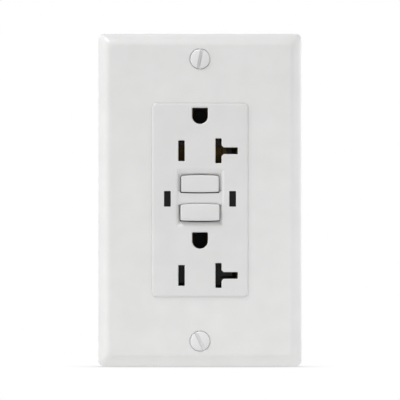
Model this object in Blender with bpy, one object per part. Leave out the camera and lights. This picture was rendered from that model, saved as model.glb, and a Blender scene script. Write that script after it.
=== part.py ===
"""Ground-fault (GFCI) duplex outlet, 20 A, with its wall plate: every piece as its own solid.

Metres, +Z up. The origin is the middle of the bar between the two buttons, on its surface. The
face looks along -Y, and +Y runs into the wall. X is to the right, seen from the front.
The depths below are distances behind the face plane, and a larger one lies deeper in the wall. The
last step moves everything forward by BAR_DEPTH, which puts the origin on the bar.
"""

import math

import bmesh
import bpy
from mathutils import Matrix, Vector

MM = 0.001

# ---- Driving dimensions -------------------------------------------------------------------------
PLATE_WIDTH, PLATE_HEIGHT = 69.85 * MM, 114.3 * MM   # one-gang wall plate, 2.75 x 4.50 in
PLATE_FRONT = 0.45 * MM                              # the face stands this far proud of the plate
PLATE_WALL = 2.0 * MM
WALL_PLANE = 6.6 * MM                                # the finished wall, under plate and strap
PLATE_SCREW_Z = 48.42 * MM                           # half of 3.8125 in
BOX_SCREW_Z = 41.67 * MM                             # half of 3.28125 in, the device box pattern
EAR_SCORE_X = 12.6 * MM                              # the ears snap off here
EAR_PAD_X, EAR_PAD_Z = (14.4 * MM, 18.4 * MM), (39.9 * MM, 43.4 * MM)

FACE_WIDTH, FACE_HEIGHT, FACE_RADIUS = 33.0 * MM, 66.5 * MM, 1.5 * MM
FACE_WALL = 2.2 * MM
BODY_WIDTH, BODY_HEIGHT, BODY_RADIUS = 42.0 * MM, 68.0 * MM, 2.0 * MM
SKIN = 1.6 * MM                                      # wall of the moulded housings
BODY_BACK = 33.0 * MM

BLADE_X = 6.35 * MM                                  # blade slots are 12.7 mm apart
UPPER_BLADE_Z, LOWER_BLADE_Z = 16.9 * MM, -25.9 * MM
BLADES_Z = (UPPER_BLADE_Z, LOWER_BLADE_Z)
HOT_SLOT_WIDTH, HOT_SLOT_HEIGHT = 2.2 * MM, 7.1 * MM
GROUND_RISE = 12.0 * MM                              # ground hole above its blade slots
BAR_DEPTH = 0.9 * MM                                 # the bar between the buttons, in their dish
TEST_Z, RESET_Z = 5.25 * MM, -4.45 * MM              # axes of the foot and stem behind the caps
TEST_CAP_Z, RESET_CAP_Z = 5.6 * MM, -4.2 * MM
TEST_SIZE, RESET_SIZE = (13.0 * MM, 6.0 * MM), (13.4 * MM, 5.9 * MM)
BUTTON_GAP = 0.22 * MM
BUTTON_CROWN, BUTTON_CLIP = 0.3 * MM, 0.4 * MM
DISH_OUTLINE = (-8.2 * MM, 8.2 * MM, -9.2 * MM, 10.9 * MM)      # left, right, bottom, top
DISH_FLOOR = (-7.25 * MM, 7.25 * MM, -8.0 * MM, 9.1 * MM)
WINDOW_X, WINDOW_Z = 11.2 * MM, 0.4 * MM             # indicator windows beside the buttons
WINDOW_WIDTH, WINDOW_HEIGHT = 2.3 * MM, 5.35 * MM

# Layers, front to back.
FLANGE_FRONT = 3.0 * MM                              # the cover widens to the body here
STRAP_FRONT, STRAP_BACK = 5.3 * MM, 6.5 * MM
STRAP_WAIST = 13.0 * MM                              # half its width where it leaves the housing
COVER_BACK = 8.6 * MM
MIDDLE_FRONT, MIDDLE_BACK = 6.9 * MM, 18.0 * MM
REAR_FRONT = 18.3 * MM
BOARD_FRONT, BOARD_BACK = 28.4 * MM, 30.0 * MM
GAP = 0.3 * MM                                       # clearance between neighbouring pieces
PAST = 1.0 * MM                                      # how far a cutter runs past the skin it cuts

CASE_SCREW_X, CASE_SCREW_Z = 17.2 * MM, 30.2 * MM
TERMINAL_Y, TERMINAL_Z = 22.5 * MM, 15.0 * MM        # load terminals above, line terminals below
TERMINAL_PLATE_X = (17.3 * MM, 18.3 * MM)
TAPPING_X, TAPPING_RADIUS = (16.5 * MM, 19.0 * MM), 2.3 * MM    # the screw's hole through its plate
WIRE_X, WIRE_APART, WIRE_RADIUS = 15.6 * MM, 2.6 * MM, 1.7 * MM
SENSOR_Z = 17.2 * MM
SOLENOID_Y = 24.0 * MM
PIN_WELL_BACK = 21.8 * MM                            # end of the wells for the plugs' ground pins

TEST_STANDS_PROUD, RESET_STANDS_PROUD = 0.1 * MM, 1.0 * MM   # reset stands out when tripped
ARM_PIVOT_Y, ARM_PIVOT_Z = 20.15 * MM, 10.2 * MM
CONTACT_Z = -9.0 * MM
LEAF_DROP = 3.6 * MM                                 # grip leaves reach this far below a slot's middle
SHEET = (16.6 * MM, 17.4 * MM)                       # depth of the flat part of the face contacts
LEAF_PIVOT_Y, LEAF_PIVOT_Z = 10.3 * MM, 14.0 * MM
LATCH_FRONT, LATCH_BACK = 22.2 * MM, 22.8 * MM
GROUND_SCREW_Y, GROUND_SCREW_Z = 11.5 * MM, -40.0 * MM

SIDES = (("hot", -1), ("neutral", 1))                # seen from the front, hot is on the left


# ---- Building blocks ----------------------------------------------------------------------------
def clear_scene():
    for obj in list(bpy.data.objects):
        bpy.data.objects.remove(obj)


def add_object(name, bm):
    bmesh.ops.recalc_face_normals(bm, faces=bm.faces)
    mesh = bpy.data.meshes.new(name)
    bm.to_mesh(mesh)
    bm.free()
    obj = bpy.data.objects.new(name, mesh)
    bpy.context.scene.collection.objects.link(obj)
    return obj


def box(name, x, y, z):
    """A block between the given pairs of coordinates."""
    bm = bmesh.new()
    bmesh.ops.create_cube(bm, size=1.0)
    size = Vector((x[1] - x[0], y[1] - y[0], z[1] - z[0]))
    middle = Vector((x[0] + x[1], y[0] + y[1], z[0] + z[1])) / 2
    bm.transform(Matrix.Translation(middle) @ Matrix.Diagonal((*size, 1.0)))
    return add_object(name, bm)


def around(centre, half):
    return centre - half, centre + half


def sided(sign, x):
    """A pair of distances from the middle plane, as x values on one side of it."""
    return tuple(sorted((sign * x[0], sign * x[1])))


def skin_sections(name, sections):
    """A closed solid through outlines with equal numbers of points. Each is a list of points."""
    bm = bmesh.new()
    rings = [[bm.verts.new(point) for point in section] for section in sections]
    count = len(rings[0])
    for ring, following in zip(rings, rings[1:]):
        for i in range(count):
            j = (i + 1) % count
            bm.faces.new((ring[i], ring[j], following[j], following[i]))
    bm.faces.new(rings[0])
    bm.faces.new(rings[-1])
    return add_object(name, bm)


def slab(name, outline, y):
    """An outline in the XZ plane, extruded between two depths."""
    return skin_sections(name, [[(px, depth, pz) for px, pz in outline] for depth in y])


def rounded_outline(width, height, radius, steps=4, centre=(0.0, 0.0)):
    points = []
    for corner in range(4):
        turn = corner * math.pi / 2
        cx = centre[0] + (width / 2 - radius) * (1 if corner in (0, 3) else -1)
        cz = centre[1] + (height / 2 - radius) * (1 if corner in (0, 1) else -1)
        for step in range(steps + 1):
            angle = turn + step / steps * math.pi / 2
            points.append((cx + radius * math.cos(angle), cz + radius * math.sin(angle)))
    return points


def rounded_slab(name, width, height, radius, y):
    return slab(name, rounded_outline(width, height, radius), y)


AXES = {
    "X": (Vector((1, 0, 0)), Vector((0, 1, 0)), Vector((0, 0, 1))),
    "Y": (Vector((0, 1, 0)), Vector((1, 0, 0)), Vector((0, 0, 1))),
    "Z": (Vector((0, 0, 1)), Vector((1, 0, 0)), Vector((0, 1, 0))),
}


def turned(name, axis, centre, profile, segments=20):
    """A turned piece. The profile lists (place along the axis, radius), from one end to the other."""
    along, across, up = AXES[axis]
    base = Vector(centre)
    base -= along * base.dot(along)
    sections = []
    for place, radius in profile:
        ring = []
        for i in range(segments):
            angle = 2 * math.pi * (i + 0.5) / segments
            spoke = across * math.cos(angle) + up * math.sin(angle)
            ring.append(base + along * place + spoke * radius)
        sections.append(ring)
    return skin_sections(name, sections)


def rod(name, axis, centre, radius, span, segments=20):
    return turned(name, axis, centre, [(span[0], radius), (span[1], radius)], segments)


def coil_spring(name, axis, centre, radius, wire, span, turns, per_turn=10, sides=5):
    """A helical spring of round wire between two places on its axis."""
    along, across, up = AXES[axis]
    base = Vector(centre)
    base -= along * base.dot(along)
    steps = int(turns * per_turn)
    sections = []
    for i in range(steps + 1):
        angle = 2 * math.pi * i / per_turn
        spoke = across * math.cos(angle) + up * math.sin(angle)
        low, high = span[0] + wire, span[1] - wire
        middle = base + along * (low + (high - low) * i / steps) + spoke * radius
        ring = []
        for k in range(sides):
            tilt = 2 * math.pi * k / sides
            ring.append(middle + (spoke * math.cos(tilt) + along * math.sin(tilt)) * wire)
        sections.append(ring)
    return skin_sections(name, sections)


def combine(target, tools, operation):
    for tool in tools:
        tool.hide_render = True
        tool.display_type = "WIRE"
        modifier = target.modifiers.new(operation.title(), "BOOLEAN")
        modifier.operation = operation
        modifier.solver = "EXACT"
        modifier.object = tool
    return target


def cut(target, *tools):
    return combine(target, tools, "DIFFERENCE")


def join(target, *tools):
    return combine(target, tools, "UNION")


def pivot_at(obj, point):
    """Moves an object's origin to a point on its joint's axis, leaving the shape where it is."""
    obj.data.transform(Matrix.Translation(-Vector(point)))
    obj.location = point
    return obj


# ---- Materials ----------------------------------------------------------------------------------
PLASTIC, METAL = 0.0, 1.0
FINISHES = {                                         # colour, roughness, metallic
    "plate_white": ((0.80, 0.80, 0.79), 0.32, PLASTIC),
    "face_white": ((0.78, 0.78, 0.77), 0.35, PLASTIC),
    "screw_white": ((0.82, 0.82, 0.81), 0.30, PLASTIC),
    "zinc_steel": ((0.62, 0.63, 0.64), 0.38, METAL),
    "dark_steel": ((0.34, 0.34, 0.36), 0.42, METAL),
    "brass": ((0.72, 0.52, 0.22), 0.32, METAL),
    "nickel": ((0.70, 0.69, 0.66), 0.30, METAL),
    "green_screw": ((0.05, 0.34, 0.12), 0.35, METAL),
    "copper_wire": ((0.62, 0.27, 0.12), 0.35, METAL),
    "housing_grey": ((0.085, 0.09, 0.10), 0.48, PLASTIC),
    "middle_grey": ((0.16, 0.17, 0.19), 0.50, PLASTIC),
    "smoke_lens": ((0.018, 0.018, 0.020), 0.16, PLASTIC),
    "nylon": ((0.72, 0.70, 0.62), 0.50, PLASTIC),
    "fibre": ((0.55, 0.44, 0.30), 0.80, PLASTIC),
    "board_green": ((0.04, 0.20, 0.09), 0.40, PLASTIC),
    "chip_black": ((0.03, 0.03, 0.03), 0.45, PLASTIC),
    "varistor_blue": ((0.05, 0.14, 0.42), 0.45, PLASTIC),
    "capacitor_yellow": ((0.66, 0.46, 0.10), 0.40, PLASTIC),
    "resistor_tan": ((0.58, 0.44, 0.27), 0.45, PLASTIC),
    "ferrite": ((0.10, 0.09, 0.09), 0.55, PLASTIC),
}
MADE_FINISHES = {}


def finish(obj, finish_name):
    """Gives a part its material and smooth shading that stops at sharp edges."""
    if finish_name not in MADE_FINISHES:
        colour, roughness, metallic = FINISHES[finish_name]
        material = bpy.data.materials.new(finish_name)
        material.use_nodes = True
        shader = material.node_tree.nodes["Principled BSDF"]
        shader.inputs["Base Color"].default_value = (*colour, 1.0)
        shader.inputs["Roughness"].default_value = roughness
        shader.inputs["Metallic"].default_value = metallic
        MADE_FINISHES[finish_name] = material
    obj.data.materials.append(MADE_FINISHES[finish_name])
    obj.data.shade_smooth()
    obj.data.set_sharp_from_angle(angle=math.radians(35))
    return obj


# ---- Shapes used on more than one piece ---------------------------------------------------------
def ground_outline(z, width=5.4 * MM, height=5.6 * MM, steps=10):
    """A flat-topped ground pin opening, round at the bottom, centred on x = 0."""
    radius = width / 2
    arc_z = z - height / 2 + radius
    points = [(radius, z + height / 2), (-radius, z + height / 2)]
    for step in range(steps + 1):
        angle = math.pi + math.pi * step / steps
        points.append((radius * math.cos(angle), arc_z + radius * math.sin(angle)))
    return points


def neutral_outline(z):
    """The T-shaped opening for a 15 A or a 20 A neutral blade, with its inner corners eased."""
    half_width, half_height = 1.05 * MM, 4.25 * MM
    arm_end, arm_half, ease = 6.6 * MM, 1.15 * MM, 0.7 * MM
    left, right = BLADE_X - half_width, BLADE_X + half_width
    return [
        (left, z - half_height), (right, z - half_height),
        (right, z - arm_half - ease), (right + ease, z - arm_half),
        (BLADE_X + arm_end, z - arm_half), (BLADE_X + arm_end, z + arm_half),
        (right + ease, z + arm_half), (right, z + arm_half + ease),
        (right, z + half_height), (left, z + half_height),
    ]


def corner_places():
    return [(sx * CASE_SCREW_X, sz * CASE_SCREW_Z) for sz in (1, -1) for sx in (-1, 1)]


def screw_blank(name, axis, centre, head, shank, direction=1):
    """A head and shank as (radius, start, end) along the axis. The head's rim is eased."""
    head_radius, head_start, head_end = head
    shank_radius, _, shank_end = shank
    ease = 0.35 * MM * direction
    tip = 0.6 * MM * direction
    profile = [
        (head_start, head_radius - 0.6 * MM), (head_start + ease, head_radius),
        (head_end, head_radius), (head_end, shank_radius),
        (shank_end - tip, shank_radius), (shank_end, shank_radius - 0.5 * MM),
    ]
    return turned(name, axis, centre, profile, 16)


# ---- Wall plate and its screws ------------------------------------------------------------------
def wall_plate():
    side = 2.4 * MM                  # straight outer side, from the wall forward
    bevel, soften = 3.7 * MM, 0.6 * MM
    rim = 1.8 * MM

    def section(inset, y, radius):
        outline = rounded_outline(PLATE_WIDTH - 2 * inset, PLATE_HEIGHT - 2 * inset, radius)
        return [(px, y, pz) for px, pz in outline]

    plate = skin_sections("wall_plate", [
        section(0.0, WALL_PLANE, 1.8 * MM),
        section(0.0, WALL_PLANE - side, 1.8 * MM),
        section(bevel, PLATE_FRONT + 0.25 * MM, 1.2 * MM),
        section(bevel + soften, PLATE_FRONT, 1.2 * MM),
    ])
    hollow = skin_sections("plate_hollow", [
        section(rim, WALL_PLANE + PAST, 0.8 * MM),
        section(rim, WALL_PLANE - side, 0.8 * MM),
        section(bevel + rim / 2, PLATE_FRONT + PLATE_WALL, 0.8 * MM),
    ])
    opening = rounded_slab("plate_opening", FACE_WIDTH + 2 * GAP, FACE_HEIGHT + 2 * GAP,
                           FACE_RADIUS + GAP, (-PAST, WALL_PLANE))
    cut(plate, hollow, opening)
    for sign in (1, -1):
        sink = turned("plate_sink", "Y", (0, 0, sign * PLATE_SCREW_Z), [
            (PLATE_FRONT - PAST, 4.5 * MM), (PLATE_FRONT + 1.7 * MM, 2.1 * MM),
            (PLATE_FRONT + PLATE_WALL + PAST, 2.1 * MM),
        ])
        cut(plate, sink)
    return finish(plate, "plate_white")


def plate_screw(name, z, slot_turn):
    """An oval-head 6-32 screw. slot_turn leans the slot's upper end to the right, in degrees."""
    head, shank, end = 3.4 * MM, 1.6 * MM, 13.0 * MM
    screw = turned(name, "Y", (0, 0, z), [
        (-0.35 * MM, 0.9 * MM), (-0.2 * MM, 1.9 * MM), (0.05 * MM, 2.8 * MM), (0.4 * MM, head),
        (2.1 * MM, shank), (end - 0.6 * MM, shank), (end, shank - 0.5 * MM),
    ])
    slot = box("screw_slot", around(0, 0.55 * MM), (-PAST, 0.75 * MM), around(0, 4 * MM))
    slot.rotation_euler.y = math.radians(slot_turn)
    slot.location.z = z
    pivot_at(finish(cut(screw, slot), "screw_white"), (0, 0, z))


# ---- Mounting strap and grounding pieces --------------------------------------------------------
def strap_outline():
    """One quarter, from the middle out to the top, reflected into all four."""
    quarter = [(x * MM, z * MM) for x, z in (
        (8.6, 0.0), (8.6, 10.0), (4.0, 12.4), (4.0, 30.6), (STRAP_WAIST / MM, 30.6), (STRAP_WAIST / MM, 36.6),
        (17.8, 37.6), (19.2, 39.6), (19.2, 43.6), (17.8, 46.0), (13.4, 46.8), (12.2, 48.6),
        (9.6, 53.2), (0.0, 53.2),
    )]
    upper_left = [(-x, z) for x, z in reversed(quarter[:-1])]
    lower_left = [(-x, -z) for x, z in quarter[1:]]
    lower_right = [(x, -z) for x, z in reversed(quarter[1:-1])]
    return quarter + upper_left + lower_left + lower_right


def mounting_strap():
    """The steel yoke. Coined pads on its four ears bear on the wall."""
    thickness = (STRAP_FRONT, STRAP_BACK)
    through = (STRAP_FRONT - PAST, STRAP_BACK + PAST)
    strap = slab("mounting_strap", strap_outline(), thickness)
    tab_x = (-15.0 * MM, -13.7 * MM)
    tab = box("ground_tab", tab_x, (STRAP_FRONT + 0.2 * MM, 16.0 * MM), (-44.6 * MM, -36.9 * MM))
    join(strap, tab)
    cut(strap, box("button_opening", around(0, 4.6 * MM), through, around(0, 8.2 * MM)))
    cut(strap, rod("ground_tapping", "X", (0, GROUND_SCREW_Y, GROUND_SCREW_Z), 2.3 * MM,
                   (tab_x[0] - PAST, tab_x[1] + PAST)))
    for z in BLADES_Z:
        ground = ground_outline(z + GROUND_RISE, 5.8 * MM, 6.0 * MM)
        cut(strap, slab("strap_ground_hole", ground, through))
    for sign in (1, -1):
        slot = rounded_outline(7.0 * MM, 4.2 * MM, 2.05 * MM, 5, (0, sign * BOX_SCREW_Z))
        cut(strap, slab("strap_slot", slot, through))
        cut(strap, rod("strap_tapping", "Y", (0, 0, sign * PLATE_SCREW_Z), 1.9 * MM, through))
        for side in (-1, 1):
            score = rod("ear_score", "Y", (side * EAR_SCORE_X, 0, sign * BOX_SCREW_Z), 1.2 * MM,
                        through, 12)
            cut(strap, score)
            join(strap, box("ear_pad", sided(side, EAR_PAD_X), (STRAP_BACK - 0.2 * MM, WALL_PLANE),
                            sided(sign, EAR_PAD_Z)))
    return finish(strap, "zinc_steel")


def mounting_screw(name, z):
    screw = screw_blank(name, "Y", (0, 0, z), (3.7 * MM, 3.0 * MM, 5.0 * MM),
                        (1.65 * MM, 5.0 * MM, 30.0 * MM))
    slot = box("slot_cut", around(0, 4.0 * MM), (2.0 * MM, 4.0 * MM), around(z, 0.6 * MM))
    cross = box("cross_cut", around(0, 0.6 * MM), (2.0 * MM, 4.0 * MM), around(z, 1.9 * MM))
    pivot_at(finish(cut(screw, slot, cross), "zinc_steel"), (0, 0, z))


def screw_retainer(name, z):
    """The square washer that keeps a mounting screw from dropping out of the strap."""
    half, depth = 4.4 * MM, (STRAP_BACK + 0.2 * MM, STRAP_BACK + 0.8 * MM)
    washer = box(name, around(0, half), depth, around(z, half))
    hole = rod("retainer_hole", "Y", (0, 0, z), 1.85 * MM, (depth[0] - PAST, depth[1] + PAST))
    finish(cut(washer, hole), "fibre")


def ground_contact(name, z):
    """A base staked to the strap, with two leaves that grip the plug's ground pin."""
    base_y = (STRAP_BACK + 0.1 * MM, STRAP_BACK + 0.7 * MM)
    base = box(name, around(0, 3.4 * MM), base_y, around(z, 3.9 * MM))
    opening = box("ground_base_opening", around(0, 2.46 * MM), (base_y[0] - PAST, base_y[1] + PAST),
                  around(z, 2.9 * MM))
    cut(base, opening)
    for sign in (-1, 1):
        leaf = box("ground_leaf", sided(sign, (2.5 * MM, 2.95 * MM)),
                   (base_y[0] + 0.2 * MM, 15.6 * MM), around(z, 2.4 * MM))
        join(base, leaf)
    finish(base, "brass")


def ground_screw():
    centre = (0, GROUND_SCREW_Y, GROUND_SCREW_Z)
    screw = screw_blank("ground_screw", "X", centre, (4.0 * MM, -17.8 * MM, -15.4 * MM),
                        (1.95 * MM, -15.4 * MM, -8.0 * MM))
    slot = box("slot_cut", (-19.0 * MM, -16.8 * MM), around(GROUND_SCREW_Y, 5 * MM),
               around(GROUND_SCREW_Z, 0.65 * MM))
    pivot_at(finish(cut(screw, slot), "green_screw"), (-15.4 * MM, *centre[1:]))


# ---- Face cover, buttons and windows -------------------------------------------------------------
def face_cover():
    raised = skin_sections("face_cover", [
        [(px, y, pz) for px, pz in rounded_outline(FACE_WIDTH - 2 * inset, FACE_HEIGHT - 2 * inset,
                                                   FACE_RADIUS - inset)]
        for inset, y in ((0.3 * MM, 0.0), (0.0, 0.3 * MM), (0.0, FLANGE_FRONT + 0.4 * MM))
    ])
    flange = rounded_slab("cover_flange", BODY_WIDTH, BODY_HEIGHT, BODY_RADIUS,
                          (FLANGE_FRONT, COVER_BACK))
    join(raised, flange)
    inner_face = rounded_slab("cover_hollow", FACE_WIDTH - 2 * SKIN, FACE_HEIGHT - 2 * SKIN,
                              0.6 * MM, (FACE_WALL, COVER_BACK + PAST))
    inner_body = rounded_slab("cover_skirt_hollow", BODY_WIDTH - 2 * SKIN, BODY_HEIGHT - 2 * SKIN,
                              BODY_RADIUS - SKIN, (FLANGE_FRONT + 1.8 * MM, COVER_BACK + PAST))
    cut(raised, inner_face, inner_body)
    for x, z in corner_places():
        join(raised, rod("cover_boss", "Y", (x, 0, z), 2.5 * MM,
                         (FLANGE_FRONT + 1.4 * MM, COVER_BACK - 0.1 * MM), 16))
        cut(raised, rod("cover_boss_hole", "Y", (x, 0, z), 1.35 * MM,
                        (5.6 * MM, COVER_BACK + PAST), 12))
    through = (-PAST, FACE_WALL + PAST)
    for z in BLADES_Z:
        cut(raised, box("hot_slot", around(-BLADE_X, HOT_SLOT_WIDTH / 2), through,
                        around(z, HOT_SLOT_HEIGHT / 2)))
        cut(raised, slab("neutral_slot", neutral_outline(z), through))
        cut(raised, slab("ground_hole", ground_outline(z + GROUND_RISE), through))
    for sign in (-1, 1):
        cut(raised, box("window_hole", around(sign * WINDOW_X, WINDOW_WIDTH / 2), through,
                        around(WINDOW_Z, WINDOW_HEIGHT / 2)))
        notch = box("strap_notch", around(0, STRAP_WAIST + GAP), (STRAP_FRONT - GAP, COVER_BACK + PAST),
                    sided(sign, (31.0 * MM, 35.0 * MM)))
        cut(raised, notch)
    button_dish(raised)
    return finish(raised, "face_white")


def button_dish(cover):
    """One dish with sloping sides round both buttons. Its floor carries the bar between them."""
    def ring(depth):
        share = depth / BAR_DEPTH
        left, right, bottom, top = (a + (b - a) * share for a, b in zip(DISH_OUTLINE, DISH_FLOOR))
        return [(left, depth, bottom), (right, depth, bottom), (right, depth, top), (left, depth, top)]

    cut(cover, skin_sections("dish_cut", [ring(-PAST), ring(BAR_DEPTH)]))
    for z, size in ((TEST_CAP_Z, TEST_SIZE), (RESET_CAP_Z, RESET_SIZE)):
        hole = slab("button_hole", button_outline(size, z, BUTTON_GAP), (-PAST, FACE_WALL + PAST))
        cut(cover, hole)


def button_outline(size, z, grow=0.0, steps=8):
    """A button's outline: crowned top and bottom edges, straight sides and clipped corners."""
    width, height = size[0] + 2 * grow, size[1] + 2 * grow
    edge = []
    for step in range(steps + 1):
        px = (width / 2 - BUTTON_CLIP) * (1 - 2 * step / steps)
        edge.append((px, height / 2 - BUTTON_CROWN * (2 * px / width) ** 2))
    side = height / 2 - BUTTON_CROWN - BUTTON_CLIP
    upper = [(width / 2, side)] + edge + [(-width / 2, side)]
    lower = [(-px, -pz) for px, pz in upper]
    return [(px, z + pz) for px, pz in upper + lower]


def button_cap(name, size, z, front, back):
    """A button with eased front edges."""
    sections = []
    for inset, y in ((0.5 * MM, front), (0.15 * MM, front + 0.2 * MM), (0.0, front + 0.6 * MM),
                     (0.0, back)):
        sections.append([(px, y, pz) for px, pz in button_outline(size, z, -inset)])
    return skin_sections(name, sections)


def reset_button():
    cap = button_cap("reset_button", RESET_SIZE, RESET_CAP_Z, -RESET_STANDS_PROUD, 2.6 * MM)
    centre, stem_end = (0, 0, RESET_Z), 7.0 * MM
    join(cap, rod("reset_stem", "Y", centre, 1.9 * MM, (2.2 * MM, stem_end), 16))
    cut(cap, rod("pin_socket", "Y", centre, 1.15 * MM, (3.6 * MM, stem_end + PAST), 16))
    pivot_at(finish(cap, "face_white"), centre)


def reset_pin():
    """The steel latch pin. Its wider tip catches behind the latch plate."""
    shaft, tip = 1.0 * MM, 1.6 * MM
    start, end, tip_length = 3.9 * MM, 21.95 * MM, 0.8 * MM
    pin = turned("reset_pin", "Y", (0, 0, RESET_Z), [
        (start, shaft), (end - tip_length, shaft), (end - tip_length, tip),
        (end - 0.4 * MM, tip), (end, 0.9 * MM),
    ], 16)
    pivot_at(finish(pin, "dark_steel"), (0, 0, RESET_Z))


def reset_spring():
    spring = coil_spring("reset_spring", "Y", (0, 0, RESET_Z), 2.25 * MM, 0.22 * MM,
                         (7.1 * MM, 13.5 * MM), 5)
    finish(spring, "nickel")


def test_button():
    cap = button_cap("test_button", TEST_SIZE, TEST_CAP_Z, -TEST_STANDS_PROUD, 2.6 * MM)
    join(cap, rod("test_foot", "Y", (0, 0, TEST_Z), 1.5 * MM, (2.2 * MM, 9.9 * MM), 16))
    pivot_at(finish(cap, "face_white"), (0, 0, TEST_Z))


def test_switch():
    """The cantilever spring that the test button bends until its bump meets the fixed strip."""
    leaf = box("test_leaf", around(0, 1.6 * MM), around(LEAF_PIVOT_Y, 0.2 * MM),
               (3.6 * MM, LEAF_PIVOT_Z + 0.4 * MM))
    join(leaf, rod("leaf_bump", "Y", (0, 0, 4.8 * MM), 0.8 * MM, (10.4 * MM, 10.9 * MM), 12))
    pivot_at(finish(leaf, "brass"), (0, LEAF_PIVOT_Y, LEAF_PIVOT_Z))
    strip = box("test_contact", around(0, 1.4 * MM), (12.7 * MM, 13.1 * MM), (3.3 * MM, 9.4 * MM))
    finish(strip, "brass")


def indicator_lens(name, sign):
    """A light pipe from the lamp on the circuit board to its window in the face."""
    lens = box(name, around(sign * WINDOW_X, WINDOW_WIDTH / 2 - 0.1 * MM), (0.1 * MM, 26.1 * MM),
               around(WINDOW_Z, WINDOW_HEIGHT / 2 - 0.1 * MM))
    finish(lens, "smoke_lens")


# ---- Middle housing and the current path --------------------------------------------------------
def middle_housing():
    body = rounded_slab("middle_housing", BODY_WIDTH, BODY_HEIGHT, BODY_RADIUS,
                        (COVER_BACK + GAP, MIDDLE_BACK))
    inside = SKIN + GAP
    deck = rounded_slab("middle_deck", BODY_WIDTH - 2 * inside, BODY_HEIGHT - 2 * inside, 1.0 * MM,
                        (MIDDLE_FRONT, COVER_BACK + 2 * GAP))
    join(body, deck)
    for sign in (1, -1):
        key = box("strap_key", around(0, STRAP_WAIST), (MIDDLE_FRONT, COVER_BACK + 2 * GAP),
                  sided(sign, (31.5 * MM, 33.9 * MM)))
        join(body, key)
    for x, z in corner_places():
        cut(body, rod("boss_relief", "Y", (x, 0, z), 2.8 * MM,
                      (MIDDLE_FRONT - PAST, COVER_BACK + 0.1 * MM), 16))
        cut(body, rod("case_hole", "Y", (x, 0, z), 1.5 * MM,
                      (MIDDLE_FRONT - PAST, MIDDLE_BACK + PAST), 12))
    contact_channels(body)
    ground_wells(body)
    centre_pockets(body)
    return finish(body, "middle_grey")


def contact_channels(body):
    """Blade openings from the front, and the channels for both contacts from the back."""
    open_back = MIDDLE_BACK + PAST
    for z in BLADES_Z:
        front = (MIDDLE_FRONT - PAST, 9.4 * MM)
        cut(body, box("hot_entry", around(-BLADE_X, 1.3 * MM), front, around(z, 3.8 * MM)))
        cut(body, box("neutral_entry", around(BLADE_X, 1.3 * MM), front, around(z, 4.4 * MM)))
        cut(body, box("arm_entry", (BLADE_X, 13.1 * MM), front, around(z, 1.4 * MM)))
        for _, sign in SIDES:
            cut(body, box("blade_pocket", sided(sign, (4.3 * MM, 13.3 * MM)), (9.0 * MM, open_back),
                          (z - 4.2 * MM, z + 5.0 * MM)))
            cut(body, box("web_pocket", sided(sign, (12.9 * MM, 16.4 * MM)), (9.0 * MM, open_back),
                          (z + 3.7 * MM, z + 5.0 * MM)))
    back = (15.8 * MM, open_back)
    for _, sign in SIDES:
        cut(body, box("bus_channel", sided(sign, (13.5 * MM, 16.4 * MM)), back,
                      (-23.0 * MM, 21.5 * MM)))
        cut(body, box("pad_channel", sided(sign, (4.3 * MM, 13.9 * MM)), back,
                      around(CONTACT_Z, 2.4 * MM)))
        cut(body, box("load_channel", sided(sign, (16.0 * MM, 22.0 * MM)), back,
                      around(TERMINAL_Z, 4.2 * MM)))


def ground_wells(body):
    """Pockets for the ground contacts, each with a closed well for the end of the plug's pin."""
    front = MIDDLE_FRONT - PAST
    for z in BLADES_Z:
        centre = (0, 0, z + GROUND_RISE)
        join(body, rod("pin_well", "Y", centre, 3.3 * MM, (MIDDLE_BACK - PAST, PIN_WELL_BACK)))
        cut(body, box("ground_pocket", around(0, 3.7 * MM), (front, 16.2 * MM),
                      around(z + GROUND_RISE, 4.2 * MM)))
        cut(body, rod("well_bore", "Y", centre, 2.7 * MM, (15.5 * MM, PIN_WELL_BACK - 0.6 * MM)))


def centre_pockets(body):
    """Openings down the middle: reset pin and spring, test switch and light pipes."""
    front = MIDDLE_FRONT - PAST
    reset = (0, 0, RESET_Z)
    cut(body, rod("spring_pocket", "Y", reset, 2.9 * MM, (front, 13.6 * MM)))
    cut(body, rod("pin_hole", "Y", reset, 1.9 * MM, (13.0 * MM, MIDDLE_BACK + PAST), 16))
    cut(body, box("leaf_pocket", around(0, 2.1 * MM), (front, 13.4 * MM), (2.8 * MM, 15.2 * MM)))
    for sign in (-1, 1):
        cut(body, box("light_channel", around(sign * WINDOW_X, 1.4 * MM),
                      (front, MIDDLE_BACK + PAST), around(WINDOW_Z, 3.0 * MM)))


def side_grip(bus, z, top, outer, grip):
    """The neutral contact's outer leaf, opened for the sideways blade of a 20 A plug."""
    arm, end = (0.95 * MM, 1.4 * MM), (12.45 * MM, 12.9 * MM)
    join(bus, box("upper_leaf", outer, grip, (z + arm[0], top)))
    join(bus, box("lower_leaf", outer, grip, (z - LEAF_DROP, z - arm[0])))
    join(bus, box("upper_arm", (outer[0], end[1]), grip, (z + arm[0], z + arm[1])))
    join(bus, box("lower_arm", (outer[0], end[1]), grip, (z - arm[1], z - arm[0])))
    join(bus, box("arm_spine", end, grip, (z - arm[1], top)))


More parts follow.
